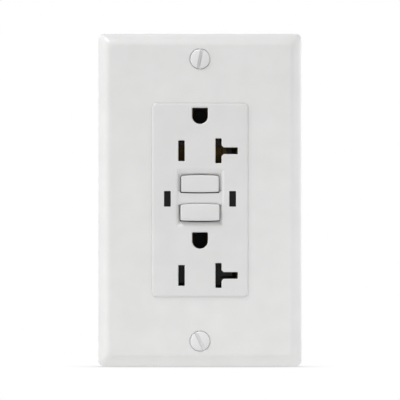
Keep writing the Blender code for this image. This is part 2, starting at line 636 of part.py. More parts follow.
def face_contact(polarity, sign, metal):
    """One stamped contact for both outlets, with its load terminal plate and its fixed pad."""
    name = f"{polarity}_face_contact"
    grip = (9.6 * MM, 17.0 * MM)
    web = (4.15 * MM, 4.6 * MM)                      # crosswise strip above each blade
    inner, outer = (4.95 * MM, 5.4 * MM), (7.3 * MM, 7.75 * MM)
    bus = box(name, sided(sign, (13.9 * MM, 16.0 * MM)), SHEET,
              (LOWER_BLADE_Z + web[0], UPPER_BLADE_Z + web[1]))
    for z in BLADES_Z:
        top = z + web[1] - 0.1 * MM
        join(bus, box("grip_web", sided(sign, (inner[0], 15.9 * MM)), grip,
                      (z + web[0], z + web[1])))
        join(bus, box("inner_leaf", sided(sign, inner), grip, (z - LEAF_DROP, top)))
        if polarity == "hot":
            join(bus, box("outer_leaf", sided(sign, outer), grip, (z - LEAF_DROP, top)))
        else:
            side_grip(bus, z, top, outer, grip)
    join(bus, box("load_arm", sided(sign, (15.8 * MM, 17.8 * MM)), SHEET,
                  around(TERMINAL_Z, 3.5 * MM)))
    join(bus, terminal_plate("load_plate", sign, TERMINAL_Z, SHEET[0]))
    join(bus, box("pad_tab", sided(sign, (4.7 * MM, 14.1 * MM)), SHEET,
                  around(CONTACT_Z, 1.9 * MM)))
    pad_centre = (sign * BLADE_X, 0, CONTACT_Z)
    join(bus, rod("fixed_pad", "Y", pad_centre, 1.6 * MM, (17.2 * MM, 18.1 * MM), 14))
    centre = (0, TERMINAL_Y, TERMINAL_Z)
    cut(bus, rod("load_tapping", "X", centre, TAPPING_RADIUS, sided(sign, TAPPING_X)))
    finish(bus, metal)


def terminal_plate(name, sign, z, front):
    return box(name, sided(sign, TERMINAL_PLATE_X), (front, 27.2 * MM), around(z, 4.0 * MM))


def line_bar(name, sign, metal):
    """From a line terminal, along the circuit board and forward through both sensor cores."""
    strip = (26.6 * MM, 27.4 * MM)
    bar = box(name, sided(sign, TERMINAL_PLATE_X), (18.8 * MM, strip[1]), around(-TERMINAL_Z, 4.0 * MM))
    core = around(SENSOR_Z, 1.4 * MM)
    runs = (
        ("run_in", (7.5 * MM, 17.6 * MM), strip, (-18.0 * MM, -15.2 * MM)),
        ("run_up", (7.5 * MM, 9.3 * MM), strip, (-18.0 * MM, core[1])),
        ("run_across", (1.0 * MM, 9.3 * MM), strip, core),
        ("run_through", (1.0 * MM, 3.2 * MM), (18.9 * MM, strip[1]), core),
        ("run_out", (1.0 * MM, 7.6 * MM), (18.9 * MM, 19.6 * MM), core),
        ("run_to_arm", (5.1 * MM, 7.6 * MM), (18.9 * MM, 19.6 * MM), (9.8 * MM, core[1])),
    )
    for label, x, y, z in runs:
        join(bar, box(label, sided(sign, x), y, z))
    cut(bar, rod("line_tapping", "X", (0, TERMINAL_Y, -TERMINAL_Z), TAPPING_RADIUS,
                 sided(sign, TAPPING_X)))
    finish(bar, metal)


def moving_arm(name, sign, metal):
    """The spring arm that the carriage lifts until its pad meets the fixed pad."""
    x = sided(sign, (5.1 * MM, 7.6 * MM))
    arm = box(name, x, around(ARM_PIVOT_Y, 0.25 * MM), (CONTACT_Z - 2.0 * MM, ARM_PIVOT_Z))
    join(arm, rod("moving_pad", "Y", (sign * BLADE_X, 0, CONTACT_Z), 1.5 * MM,
                  (19.2 * MM, 20.2 * MM), 14))
    pivot_at(finish(arm, metal), (sign * BLADE_X, ARM_PIVOT_Y, ARM_PIVOT_Z))


# ---- Trip mechanism -----------------------------------------------------------------------------
def contact_carriage():
    """The nylon block that carries the latch plate and lifts both moving arms."""
    y, z = (20.6 * MM, 24.8 * MM), around(RESET_Z, 3.5 * MM)
    block = box("contact_carriage", around(0, 4.2 * MM), y, z)
    join(block, box("carriage_wings", around(0, 8.0 * MM), (y[0], 21.8 * MM),
                    around(RESET_Z, 1.75 * MM)))
    cut(block, box("latch_slot", around(0, 3.3 * MM), (LATCH_FRONT - 0.2 * MM, LATCH_BACK + 0.2 * MM),
                   (z[0] - PAST, z[1] + PAST)))
    cut(block, rod("carriage_bore", "Y", (0, 0, RESET_Z), 2.75 * MM, (y[0] - PAST, y[1] + PAST), 16))
    pivot_at(finish(block, "nylon"), (0, y[0], RESET_Z))


def latch_plate():
    """Slides in the carriage. Its hole lets the pin's tip through, then closes behind it."""
    depth = (LATCH_FRONT, LATCH_BACK)
    plate = box("latch_plate", around(0, 3.1 * MM), depth, (-9.2 * MM, -0.5 * MM))
    join(plate, box("latch_lip", around(0, 1.5 * MM), (LATCH_FRONT, 25.2 * MM),
                    (-9.2 * MM, -8.6 * MM)))
    cut(plate, box("latch_hole", around(0, 1.9 * MM), (depth[0] - PAST, depth[1] + PAST),
                   (RESET_Z - 1.9 * MM, RESET_Z + 2.45 * MM)))
    pivot_at(finish(plate, "dark_steel"), (0, depth[0], RESET_Z))


def solenoid():
    """Bobbin, winding, steel frame, and the plunger with its return spring."""
    centre = (0, SOLENOID_Y, 0)
    near, far = (-18.4 * MM, -17.6 * MM), (-27.3 * MM, -26.5 * MM)   # end plates of the frame
    low, high, flange, bore = far[1] + 0.2 * MM, near[0] - 0.2 * MM, 0.9 * MM, 1.8 * MM
    bobbin = turned("solenoid_bobbin", "Z", centre, [
        (low, 4.0 * MM), (low + flange, 4.0 * MM), (low + flange, 2.4 * MM),
        (high - flange, 2.4 * MM), (high - flange, 4.0 * MM), (high, 4.0 * MM),
    ])
    finish(cut(bobbin, rod("bobbin_bore", "Z", centre, bore, (low - PAST, high + PAST))), "nylon")

    winding = (low + flange + 0.2 * MM, high - flange - 0.2 * MM)
    coil = rod("solenoid_coil", "Z", centre, 3.9 * MM, winding)
    core = rod("coil_core", "Z", centre, 2.6 * MM, (winding[0] - PAST, winding[1] + PAST))
    finish(cut(coil, core), "copper_wire")

    depth = around(SOLENOID_Y, 4.1 * MM)
    frame = box("solenoid_frame", (4.4 * MM, 5.2 * MM), depth, (far[0], near[1]))
    for plate in (near, far):
        join(frame, box("frame_end", (-4.2 * MM, 4.8 * MM), depth, plate))
    cut(frame, rod("frame_bore", "Z", centre, bore, (far[0] - PAST, near[1] + PAST)))
    finish(frame, "zinc_steel")

    head, shaft, nose, head_top = 2.7 * MM, 1.5 * MM, 0.9 * MM, -29.9 * MM
    plunger = turned("solenoid_plunger", "Z", centre, [
        (head_top - 0.8 * MM, head), (head_top, head), (head_top, shaft), (-13.0 * MM, shaft),
        (-13.0 * MM, nose), (-9.5 * MM, nose),
    ], 16)
    pivot_at(finish(plunger, "dark_steel"), centre)
    spring = coil_spring("plunger_spring", "Z", centre, 2.0 * MM, 0.18 * MM,
                         (head_top + 0.1 * MM, far[0] - 0.1 * MM), 2.5)
    finish(spring, "nickel")


# ---- Fault sensor and circuit board -------------------------------------------------------------
def fault_sensor():
    """Two ring cores on a sleeve: one senses leakage, the other a grounded neutral."""
    centre = (0, 0, SENSOR_Z)
    for name, y in (("leakage_core", (20.1 * MM, 22.9 * MM)), ("neutral_core", (23.3 * MM, 26.1 * MM))):
        ring = rod(name, "Y", centre, 7.8 * MM, y, 28)
        finish(cut(ring, rod("core_bore", "Y", centre, 4.7 * MM, (y[0] - PAST, y[1] + PAST), 28)),
               "copper_wire" if name == "leakage_core" else "ferrite")
    length = (19.9 * MM, 26.3 * MM)
    sleeve = rod("sensor_sleeve", "Y", centre, 4.4 * MM, length)
    finish(cut(sleeve, rod("sleeve_bore", "Y", centre, 3.8 * MM, (length[0] - PAST, length[1] + PAST))),
           "nylon")


def circuit_board():
    depth = (BOARD_FRONT, BOARD_BACK)
    through = (BOARD_FRONT - PAST, BOARD_BACK + PAST)
    board = rounded_slab("circuit_board", 37.6 * MM, 63.6 * MM, 0.8 * MM, depth)
    for x, z in corner_places():
        cut(board, box("board_corner", around(x, 3.3 * MM), through, around(z, 3.3 * MM)))
    for sx in (-1, 1):
        for sz in (-1, 1):
            cut(board, box("board_notch", sided(sx, (11.2 * MM, 21.0 * MM)), through,
                           around(sz * TERMINAL_Z, 6.9 * MM)))
    finish(board, "board_green")

    front = BOARD_FRONT - 0.1 * MM
    chip = box("control_chip", around(0, 4.6 * MM), (26.7 * MM, front), around(28.8 * MM, 1.7 * MM))
    finish(chip, "chip_black")
    varistor = rod("surge_varistor", "X", (0, 23.2 * MM, 0), 4.3 * MM, (14.2 * MM, 17.2 * MM), 24)
    finish(varistor, "varistor_blue")
    capacitor = box("filter_capacitor", (-18.2 * MM, -14.2 * MM), (20.2 * MM, front),
                    around(0, 4.8 * MM))
    finish(capacitor, "capacitor_yellow")
    thyristor = rod("trip_thyristor", "Y", (13.4 * MM, 0, -26.0 * MM), 2.2 * MM, (23.4 * MM, front), 16)
    finish(thyristor, "chip_black")
    resistor = turned("test_resistor", "Z", (3.4 * MM, 26.9 * MM, 0), [
        (0.4 * MM, 0.8 * MM), (0.8 * MM, 1.1 * MM), (1.9 * MM, 1.1 * MM), (2.3 * MM, 0.9 * MM),
        (4.7 * MM, 0.9 * MM), (5.1 * MM, 1.1 * MM), (6.2 * MM, 1.1 * MM), (6.6 * MM, 0.8 * MM),
    ], 14)
    finish(resistor, "resistor_tan")
    for name, sign in (("lamp_left", -1), ("lamp_right", 1)):
        lamp = box(name, around(sign * WINDOW_X, 1.15 * MM), (26.4 * MM, front),
                   around(WINDOW_Z, 1.3 * MM))
        finish(lamp, "nylon")


# ---- Rear cover, case screws and wiring terminals -----------------------------------------------
def rear_cover():
    cover = rounded_slab("rear_cover", BODY_WIDTH, BODY_HEIGHT, BODY_RADIUS, (REAR_FRONT, BODY_BACK))
    floor = BODY_BACK - SKIN
    cut(cover, rounded_slab("rear_hollow", BODY_WIDTH - 2 * SKIN, BODY_HEIGHT - 2 * SKIN,
                            BODY_RADIUS - SKIN, (REAR_FRONT - PAST, floor)))
    for x, z in corner_places():
        join(cover, rod("rear_boss", "Y", (x, 0, z), 2.8 * MM, (REAR_FRONT, floor + 0.4 * MM), 16))
    for sx in (-1, 1):
        for sz in (-1, 1):
            terminal_bay(cover, sx, sz)
    for x, z in corner_places():
        cut(cover, rod("rear_case_hole", "Y", (x, 0, z), 1.4 * MM,
                       (REAR_FRONT - PAST, BODY_BACK + PAST), 12))
        cut(cover, rod("rear_counterbore", "Y", (x, 0, z), 2.4 * MM,
                       (29.8 * MM, BODY_BACK + PAST), 16))
    return finish(cover, "housing_grey")


def terminal_bay(cover, sx, sz):
    """Walls that part a terminal from the board, its side opening and two wire entries."""
    floor = BODY_BACK - SKIN + 0.4 * MM
    wall = 1.0 * MM
    inner = 11.6 * MM
    depth = (19.8 * MM, floor)
    z = sz * TERMINAL_Z
    join(cover, box("bay_wall", sided(sx, (inner, inner + wall)), depth, around(z, 6.5 * MM)))
    for edge in (-1, 1):
        level = z + edge * 6.0 * MM
        join(cover, box("bay_end", sided(sx, (inner, BODY_WIDTH / 2 - 0.4 * MM)), depth,
                        around(level, wall / 2)))
    cut(cover, box("side_opening", sided(sx, (18.9 * MM, 22.0 * MM)), (REAR_FRONT - PAST, 27.4 * MM),
                   around(z, 4.7 * MM)))
    for edge in (-1, 1):
        cut(cover, rod("wire_entry", "Y", (sx * WIRE_X, 0, z + edge * WIRE_APART), WIRE_RADIUS,
                       (floor - PAST, BODY_BACK + PAST), 14))
    if sz < 0:
        cut(cover, box("bar_notch", sided(sx, (inner - 0.4 * MM, inner + wall + 0.4 * MM)),
                       (26.2 * MM, 27.8 * MM), (-18.4 * MM, -14.8 * MM)))


def case_screws():
    names = ("upper_left", "upper_right", "lower_left", "lower_right")
    for label, (x, z) in zip(names, corner_places()):
        screw = screw_blank("case_screw_" + label, "Y", (x, 0, z), (2.1 * MM, 31.9 * MM, 30.1 * MM),
                            (1.1 * MM, 30.1 * MM, 6.2 * MM), direction=-1)
        recess = box("case_drive", around(x, 0.45 * MM), (31.0 * MM, 33.0 * MM), around(z, 1.3 * MM))
        finish(cut(screw, recess), "zinc_steel")


def terminal(circuit, polarity, sign, z, metal):
    """A binding screw and the clamp plate it draws against the terminal plate."""
    centre = (0, TERMINAL_Y, z)
    name = f"{circuit}_{polarity}"
    head_outer, head_inner, tip = 21.0 * MM, 18.6 * MM, 13.0 * MM
    screw = screw_blank(f"{name}_screw", "X", centre, (4.0 * MM, sign * head_outer, sign * head_inner),
                        (1.95 * MM, sign * head_inner, sign * tip), direction=-sign)
    slot = box("slot_cut", sided(sign, (20.0 * MM, 22.0 * MM)), around(TERMINAL_Y, 5.0 * MM),
               around(z, 0.65 * MM))
    pivot_at(finish(cut(screw, slot), metal), (sign * head_inner, *centre[1:]))

    clamp_x = (15.6 * MM, 17.0 * MM)
    clamp = box(f"{name}_clamp", sided(sign, clamp_x), around(TERMINAL_Y, 3.9 * MM),
                around(z, 4.1 * MM))
    hole_x = sided(sign, (clamp_x[0] - PAST, clamp_x[1] + PAST))
    cut(clamp, rod("clamp_hole", "X", centre, 2.1 * MM, hole_x))
    pivot_at(finish(clamp, "zinc_steel"), (sign * clamp_x[1], *centre[1:]))


# ---- The whole outlet ---------------------------------------------------------------------------
def build():
    clear_scene()
    wall_plate()
    plate_screw("plate_screw_upper", PLATE_SCREW_Z, 11)
    plate_screw("plate_screw_lower", -PLATE_SCREW_Z, -26)
    mounting_strap()
    for label, sign in (("upper", 1), ("lower", -1)):
        mounting_screw(f"mounting_screw_{label}", sign * BOX_SCREW_Z)
        screw_retainer(f"screw_retainer_{label}", sign * BOX_SCREW_Z)
    ground_screw()
    face_cover()
    reset_button()
    reset_pin()
    reset_spring()
    test_button()
    test_switch()
    for label, z in zip(("upper", "lower"), BLADES_Z):
        ground_contact(f"ground_contact_{label}", z + GROUND_RISE)
    middle_housing()
    for polarity, sign in SIDES:
        metal = "brass" if polarity == "hot" else "nickel"
        face_contact(polarity, sign, "brass")
        line_bar(f"{polarity}_line_bar", sign, "brass")
        moving_arm(f"{polarity}_moving_arm", sign, "brass")
        terminal("load", polarity, sign, TERMINAL_Z, metal)
        terminal("line", polarity, sign, -TERMINAL_Z, metal)
    for label, sign in (("left", -1), ("right", 1)):
        indicator_lens(f"indicator_lens_{label}", sign)
    contact_carriage()
    latch_plate()
    solenoid()
    fault_sensor()
    circuit_board()
    rear_cover()
    case_screws()
    move_origin_to_bar()


def move_origin_to_bar():
    for obj in bpy.data.objects:
        obj.location.y -= BAR_DEPTH


build()
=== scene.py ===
"""Looks for the ground-fault duplex outlet: finished surfaces, materials, light and camera.

Metres, +Z up. The face looks along -Y, +Y runs into the wall and +X is to the right seen from the
front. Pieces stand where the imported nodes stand, and their main sizes come from those nodes.
"""

import math

import bmesh
import bpy
from mathutils import Matrix, Vector


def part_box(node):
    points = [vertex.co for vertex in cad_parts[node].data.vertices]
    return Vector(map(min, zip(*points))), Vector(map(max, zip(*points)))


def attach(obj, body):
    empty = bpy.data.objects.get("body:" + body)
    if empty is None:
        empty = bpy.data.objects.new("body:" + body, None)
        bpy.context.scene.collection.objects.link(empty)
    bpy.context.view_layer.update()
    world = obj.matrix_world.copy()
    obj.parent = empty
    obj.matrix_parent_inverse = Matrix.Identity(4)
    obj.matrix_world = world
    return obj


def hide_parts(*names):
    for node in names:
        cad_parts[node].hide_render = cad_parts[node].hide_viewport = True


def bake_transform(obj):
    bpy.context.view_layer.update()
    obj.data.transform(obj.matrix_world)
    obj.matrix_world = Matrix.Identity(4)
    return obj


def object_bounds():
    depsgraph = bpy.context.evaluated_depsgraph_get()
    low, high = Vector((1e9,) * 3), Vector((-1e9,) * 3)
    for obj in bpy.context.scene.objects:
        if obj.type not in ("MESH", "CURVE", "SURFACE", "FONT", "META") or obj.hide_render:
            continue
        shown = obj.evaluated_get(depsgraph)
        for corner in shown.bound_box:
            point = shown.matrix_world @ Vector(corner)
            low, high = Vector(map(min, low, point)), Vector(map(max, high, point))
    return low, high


MM = 0.001
PAST = 1.0 * MM                  # how far a cutter runs past the skin it cuts
SIDES = (-1, 1)
ENDS = {"upper": 1, "lower": -1}              # both ends of the outlet, and their sign along Z
CORNERS = ("upper_left", "upper_right", "lower_left", "lower_right")
FACE = (33.0 * MM, 66.5 * MM, 1.5 * MM)       # width, height and corner radius of the raised face
BLADE_X = 6.35 * MM              # each blade slot stands this far from the middle
WIRE_X, WIRE_APART = 15.6 * MM, 2.6 * MM      # wire entries from the middle, and from their terminal
CAP_BACK = 1.7 * MM              # where the button caps end, in depth
PITCH = 0.794 * MM               # of 6-32 and 8-32 threads
DRIVE_DEPTH = 0.95 * MM          # how far a driver goes into a pan head
INTERIOR = 12 * MM               # light fails over this distance inside the body


# ---- Mesh building blocks -----------------------------------------------------------------------
def new_object(name, bm):
    bmesh.ops.recalc_face_normals(bm, faces=bm.faces)
    mesh = bpy.data.meshes.new(name)
    bm.to_mesh(mesh)
    bm.free()
    obj = bpy.data.objects.new(name, mesh)
    bpy.context.scene.collection.objects.link(obj)
    return obj


def loft(name, rings, hollow=False):
    """A skin through rings of equal length. A hollow one joins its last ring to its first."""
    bm = bmesh.new()
    rows = [[bm.verts.new(point) for point in ring] for ring in rings]
    count = len(rows[0])
    pairs = list(zip(rows, rows[1:])) + ([(rows[-1], rows[0])] if hollow else [])
    for ring, following in pairs:
        for i in range(count):
            j = (i + 1) % count
            bm.faces.new((ring[i], ring[j], following[j], following[i]))
    if not hollow:
        bm.faces.new(rows[0])
        bm.faces.new(rows[-1])
    return new_object(name, bm)


def at_depth(outline, y):
    return [(x, y, z) for x, z in outline]


def rounded_outline(width, height, radius, centre=(0.0, 0.0), steps=8):
    points = []
    for corner in range(4):
        cx = centre[0] + (width / 2 - radius) * (1 if corner in (0, 3) else -1)
        cz = centre[1] + (height / 2 - radius) * (1 if corner in (0, 1) else -1)
        for step in range(steps + 1):
            angle = (corner + step / steps) * math.pi / 2
            points.append((cx + radius * math.cos(angle), cz + radius * math.sin(angle)))
    return points


def inset_ring(size, inset, radius, y, centre=(0.0, 0.0), steps=8):
    """A rounded rectangle at a depth, smaller than its size by an inset all round."""
    return at_depth(rounded_outline(size[0] - 2 * inset, size[1] - 2 * inset, radius, centre, steps), y)


def rounded_corners(corners, radius, steps=4):
    """A polygon whose corners are rounded, each by no more than its shorter edge allows."""
    points = []
    for i, corner in enumerate(corners):
        here = Vector(corner)
        before, after = Vector(corners[i - 1]) - here, Vector(corners[(i + 1) % len(corners)]) - here
        reach = min(radius, 0.45 * before.length, 0.45 * after.length)
        start, end = here + before.normalized() * reach, here + after.normalized() * reach
        for step in range(steps + 1):
            t = step / steps
            points.append(tuple(start * (1 - t) ** 2 + here * 2 * t * (1 - t) + end * t ** 2))
    return points


def grown(outline, distance):
    """The outline moved outwards by a distance, with its corners mitred."""
    count = len(outline)
    ends = [outline[(i + 1) % count] for i in range(count)]
    turning = sum(a[0] * b[1] - b[0] * a[1] for a, b in zip(outline, ends))
    sign = 1 if turning > 0 else -1
    moved = []
    for i, point in enumerate(outline):
        into = (Vector(point) - Vector(outline[i - 1])).normalized()
        out = (Vector(ends[i]) - Vector(point)).normalized()
        normals = Vector((into.y + out.y, -into.x - out.x))
        reach = sign * distance / max(0.4, 1 + into.dot(out))
        moved.append((point[0] + normals.x * reach, point[1] + normals.y * reach))
    return moved


def quarter_round(radius, steps=4):
    """Pairs of (distance still to go, depth reached) round a convex edge."""
    angles = [step / steps * math.pi / 2 for step in range(steps + 1)]
    return [(radius * (1 - math.sin(a)), radius * (1 - math.cos(a))) for a in angles]


def eased_slab(name, outline, y, ease, steps=3):
    """An outline given thickness along Y, with both its edges rounded."""
    front = [at_depth(grown(outline, -gap), y[0] + depth) for gap, depth in quarter_round(ease, steps)]
    back = [at_depth(grown(outline, -gap), y[1] - depth) for gap, depth in quarter_round(ease, steps)]
    return loft(name, front + back[::-1])


def mouth(name, outline, rim, face, end):
    """A cutter from a face towards +Y. The edge it leaves on the face is rounded by rim."""
    rings = [at_depth(grown(outline, rim), face - PAST)]
    rings += [at_depth(grown(outline, gap), face + depth) for gap, depth in quarter_round(rim)]
    return loft(name, rings + [at_depth(outline, end)])


def block(name, x, y, z, ease=0.0, segments=2):
    """A box between pairs of coordinates, with rounded edges when ease is given."""
    bm = bmesh.new()
    bmesh.ops.create_cube(bm, size=1.0)
    size = Vector((x[1] - x[0], y[1] - y[0], z[1] - z[0]))
    middle = Vector((x[0] + x[1], y[0] + y[1], z[0] + z[1])) / 2
    bm.transform(Matrix.Translation(middle) @ Matrix.Diagonal((*size, 1.0)))
    if ease:
        bmesh.ops.bevel(bm, geom=bm.edges[:], offset=ease, segments=segments, profile=0.5,
                        affect="EDGES")
    return new_object(name, bm)


def around(centre, half):
    return centre - half, centre + half


def sided(sign, x):
    return tuple(sorted((sign * x[0], sign * x[1])))


def node_middle(name):
    low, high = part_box(name)
    return (low + high) / 2


def tilted(tool, centre, axis, degrees):
    """Turns a tool that was built round the origin, and moves it to its centre."""
    tool.data.transform(Matrix.Translation(centre) @ Matrix.Rotation(math.radians(degrees), 4, axis))
    return tool


AXES = {
    "X": (Vector((1, 0, 0)), Vector((0, 1, 0)), Vector((0, 0, 1))),
    "Y": (Vector((0, 1, 0)), Vector((1, 0, 0)), Vector((0, 0, 1))),
    "Z": (Vector((0, 0, 1)), Vector((1, 0, 0)), Vector((0, 1, 0))),
}


def spun_ring(axis, centre, place, radius, segments):
    """A ring round an axis. The radius is a number, or a function of the angle in turns."""
    along, across, up = AXES[axis]
    base = Vector(centre)
    base += along * (place - base.dot(along))
    ring = []
    for i in range(segments):
        turn = i / segments
        reach = radius(turn) if callable(radius) else radius
        angle = 2 * math.pi * turn
        ring.append(base + (across * math.cos(angle) + up * math.sin(angle)) * reach)
    return ring


def turned(name, axis, centre, profile, segments=40):
    """A turned piece from (place along the axis, radius) pairs."""
    return loft(name, [spun_ring(axis, centre, place, radius, segments) for place, radius in profile])


def rod(name, axis, centre, radius, span, segments=32):
    return turned(name, axis, centre, [(span[0], radius), (span[1], radius)], segments)


def thread(start, end, crest, root, pitch, rings_per_turn=7):
    """Profile of a screw thread: each radius depends on the angle, so the groove winds."""
    length = abs(end - start)
    direction = 1 if end > start else -1
    steps = max(2, round(length / pitch * rings_per_turn))
    profile = []
    for step in range(steps + 1):
        travelled = length * step / steps
        fade = min(1.0, travelled / pitch, (length - travelled) / pitch)

        def radius(turn, travelled=travelled, fade=fade):
            phase = (travelled / pitch - direction * turn) % 1.0
            tooth = min(1.0, 1.3 * (1 - abs(2 * phase - 1)))
            return crest + (root - crest) * (1 - tooth) * fade

        profile.append((start + direction * travelled, radius))
    return profile


def coil(name, axis, centre, radius, wire, span, turns, per_turn=24, sides=8):
    """A compression spring of round wire whose end turns close up."""
    along, across, up = AXES[axis]
    base = Vector(centre)
    base -= along * base.dot(along)
    steps = int(turns * per_turn)
    rings = []
    for i in range(steps + 1):
        angle = 2 * math.pi * i / per_turn
        share = i / steps
        rise = share - math.sin(2 * math.pi * share) / (2 * math.pi) * 0.35
        spoke = across * math.cos(angle) + up * math.sin(angle)
        low, high = span[0] + wire, span[1] - wire
        middle = base + along * (low + (high - low) * rise) + spoke * radius
        tilts = [2 * math.pi * k / sides for k in range(sides)]
        rings.append([middle + (spoke * math.cos(t) + along * math.sin(t)) * wire for t in tilts])
    return loft(name, rings)


def modify(obj, name, kind, **settings):
    modifier = obj.modifiers.new(name, kind)
    for key, value in settings.items():
        setattr(modifier, key, value)


def fix_modifiers(obj):
    """Replaces the mesh by its modified one."""
    graph = bpy.context.evaluated_depsgraph_get()
    mesh = bpy.data.meshes.new_from_object(obj.evaluated_get(graph))
    obj.modifiers.clear()
    obj.data = mesh


def combine(target, tools, operation):
    """Adds the tools to the target or takes them out of it, and removes them."""
    for tool in tools:
        modify(target, operation.title(), "BOOLEAN", operation=operation, solver="EXACT", object=tool)
    fix_modifiers(target)
    for tool in tools:
        bpy.data.objects.remove(tool)
    return target


def cut(target, *tools):
    return combine(target, tools, "DIFFERENCE")


def join(target, *tools):
    return combine(target, tools, "UNION")


def shade(obj, angle=32):
    """Smooth shading that stops at sharp edges and keeps flat faces flat."""
    obj.data.shade_smooth()
    obj.data.set_sharp_from_angle(angle=math.radians(angle))
    modify(obj, "Even normals", "WEIGHTED_NORMAL", keep_sharp=True)


def place(obj, body, slot, *nodes):
    """Shades a piece, gives it its slot's material, and stands it in for its nodes on their body."""
    shade(obj)
    obj.data.materials.clear()
    obj.data.materials.append(LOOKS[slot])
    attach(obj, body)
    if nodes:
        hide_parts(*nodes)
    return obj


# ---- Materials ----------------------------------------------------------------------------------
class Nodes:
    """A node tree under construction, with short calls for the nodes used here."""

    def __init__(self, tree):
        self.tree = tree

    def feed(self, socket, value):
        """Gives an input a number or a colour, or links another node's output to it."""
        if isinstance(value, bpy.types.NodeSocket):
            self.tree.links.new(value, socket)
        else:
            socket.default_value = value

    def fill(self, node, inputs):
        for key, value in inputs.items():
            self.feed(node.inputs[key.replace("_", " ")], value)

    def node(self, kind, **inputs):
        made = self.tree.nodes.new(kind)
        self.fill(made, inputs)
        return made

    def spread(self, value, low, high, start=0.3, end=0.7):
        """A value between start and end, mapped to one between low and high."""
        made = self.node("ShaderNodeMapRange", Value=value, From_Min=start, From_Max=end,
                         To_Min=low, To_Max=high)
        return made.outputs["Result"]

    def either(self, share, first, second):
        """A mix of two shaders."""
        made = self.node("ShaderNodeMixShader", Fac=share)
        self.feed(made.inputs[1], first)
        self.feed(made.inputs[2], second)
        return made.outputs["Shader"]

    def by_ray(self, seen, lit):
        """One shader for the camera to see, and another that lights the scene."""
        return self.either(self.node("ShaderNodeLightPath").outputs["Is Camera Ray"], lit, seen)


class Shader(Nodes):
    """A material's nodes. Its patterns lie in the coordinates of the piece."""

    def __init__(self, name):
        self.material = bpy.data.materials.new(name)
        self.material.use_nodes = True
        super().__init__(self.material.node_tree)
        self.base = self.tree.nodes["Principled BSDF"]
        self.place = self.node("ShaderNodeTexCoord").outputs["Object"]

    def noise(self, size, detail=3.0, stretch=(1, 1, 1)):
        """Noise whose features measure about size metres, stretched along the given axes."""
        scale = tuple(1 / (size * s) for s in stretch)
        mapped = self.node("ShaderNodeMapping", Vector=self.place, Scale=scale)
        made = self.node("ShaderNodeTexNoise", Vector=mapped.outputs["Vector"], Scale=1.0,
                         Detail=detail)
        return made.outputs["Fac"]

    def mixed(self, share, first, second):
        """A mix of two colours, each a node's output or three numbers."""
        made = self.node("ShaderNodeMix")
        made.data_type = "RGBA"
        self.feed(made.inputs["Factor"], share)
        for socket, colour in ((made.inputs[6], first), (made.inputs[7], second)):
            self.feed(socket, (*colour, 1.0) if isinstance(colour, tuple) else colour)
        return made.outputs[2]

    def shaded_nooks(self, colour, dark, distance, start, end):
        """The colour, going over to a dark one where other surfaces stand within the distance: painted shade.
        """
        openness = self.node("ShaderNodeAmbientOcclusion", Distance=distance).outputs["AO"]
        return self.mixed(self.spread(openness, 0.0, 1.0, start, end), dark, colour)

    def edges(self, colour, edge_colour, most, start, end):
        """The colour, going over to another on sharp edges, by no more than the given share."""
        sharpness = self.node("ShaderNodeNewGeometry").outputs["Pointiness"]
        return self.mixed(self.spread(sharpness, 0.0, most, start, end), colour, edge_colour)

    def bump(self, height, depth, strength=1.0, normal=None):
        made = self.node("ShaderNodeBump", Height=height, Distance=depth, Strength=strength)
        if normal:
            self.feed(made.inputs["Normal"], normal)
        return made.outputs["Normal"]

    def finish(self, **inputs):
        """Sets the surface and gives back the material."""
        self.fill(self.base, inputs)
        return self.material


def shifted(colour, factor):
    return tuple(min(1.0, part * factor) for part in colour)


def moulded(name, colour, roughness, grain=0.004, drift=0.02, crevice_shade=0.86, reach=0.7):
    """Injection-moulded plastic: faint mottling, fine moulding grain and painted shade in the crevices."""
    s = Shader(name)
    drifting = s.spread(s.noise(9 * MM, 2.0), 0.0, 1.0)
    even = s.mixed(drifting, shifted(colour, 1 - drift), shifted(colour, 1 + drift))
    # Painted shade: darker where other surfaces stand close, in crevices, gaps and round the buttons.
    nook_shaded = s.shaded_nooks(even, shifted(colour, crevice_shade), reach * MM, 0.25, 0.8)
    fine = s.noise(0.22 * MM, 4.0)
    waves = s.noise(7 * MM, 1.0)
    return s.finish(Base_Color=nook_shaded, Roughness=s.spread(fine, roughness - 0.03, roughness + 0.05), IOR=1.49,
                    Normal=s.bump(waves, 0.02 * MM, 0.5, s.bump(fine, grain * MM, 0.6)))


def metal(name, colour, roughness, grain=(1, 1, 1), tarnish=None, tarnish_share=0.35):
    """Plated or bare metal: drawing marks along the grain, patchy tarnish, edges bright from wear and painted
    highlight, and painted shade deep in the body.
    """
    s = Shader(name)
    patches = s.spread(s.noise(2.6 * MM, 5.0), 0.0, tarnish_share, 0.42, 0.68)
    dull = s.mixed(patches, colour, tarnish or shifted(colour, 0.7))
    # Sharp edges lighter: partly worn plating, partly a painted highlight.
    worn_and_highlit = s.edges(dull, shifted(colour, 1.25), 0.5, 0.52, 0.62)
    # Painted shade: darker deep inside the body.
    unlit = s.shaded_nooks(worn_and_highlit, shifted(colour, 0.10), INTERIOR, 0.05, 0.70)
    marks = s.noise(0.16 * MM, 3.0, grain)
    return s.finish(Base_Color=unlit, Metallic=1.0, Normal=s.bump(marks, 0.006 * MM, 0.5),
                    Roughness=s.spread(marks, roughness - 0.06, roughness + 0.10))


def enamel(name, colour, roughness):
    """Paint over metal: orange peel, a slightly thinner coat on the edges and painted shade in nooks."""
    s = Shader(name)
    peel = s.noise(0.5 * MM, 2.0)
    thin = s.edges(colour, shifted(colour, 0.8), 0.25, 0.54, 0.66)
    # Painted shade where other surfaces stand close.
    nook_shaded = s.shaded_nooks(thin, shifted(colour, 0.92), 0.6 * MM, 0.15, 0.8)
    return s.finish(Base_Color=nook_shaded, Roughness=roughness, Coat_Weight=0.25, Coat_Roughness=0.12,
                    Normal=s.bump(peel, 0.012 * MM, 0.5))


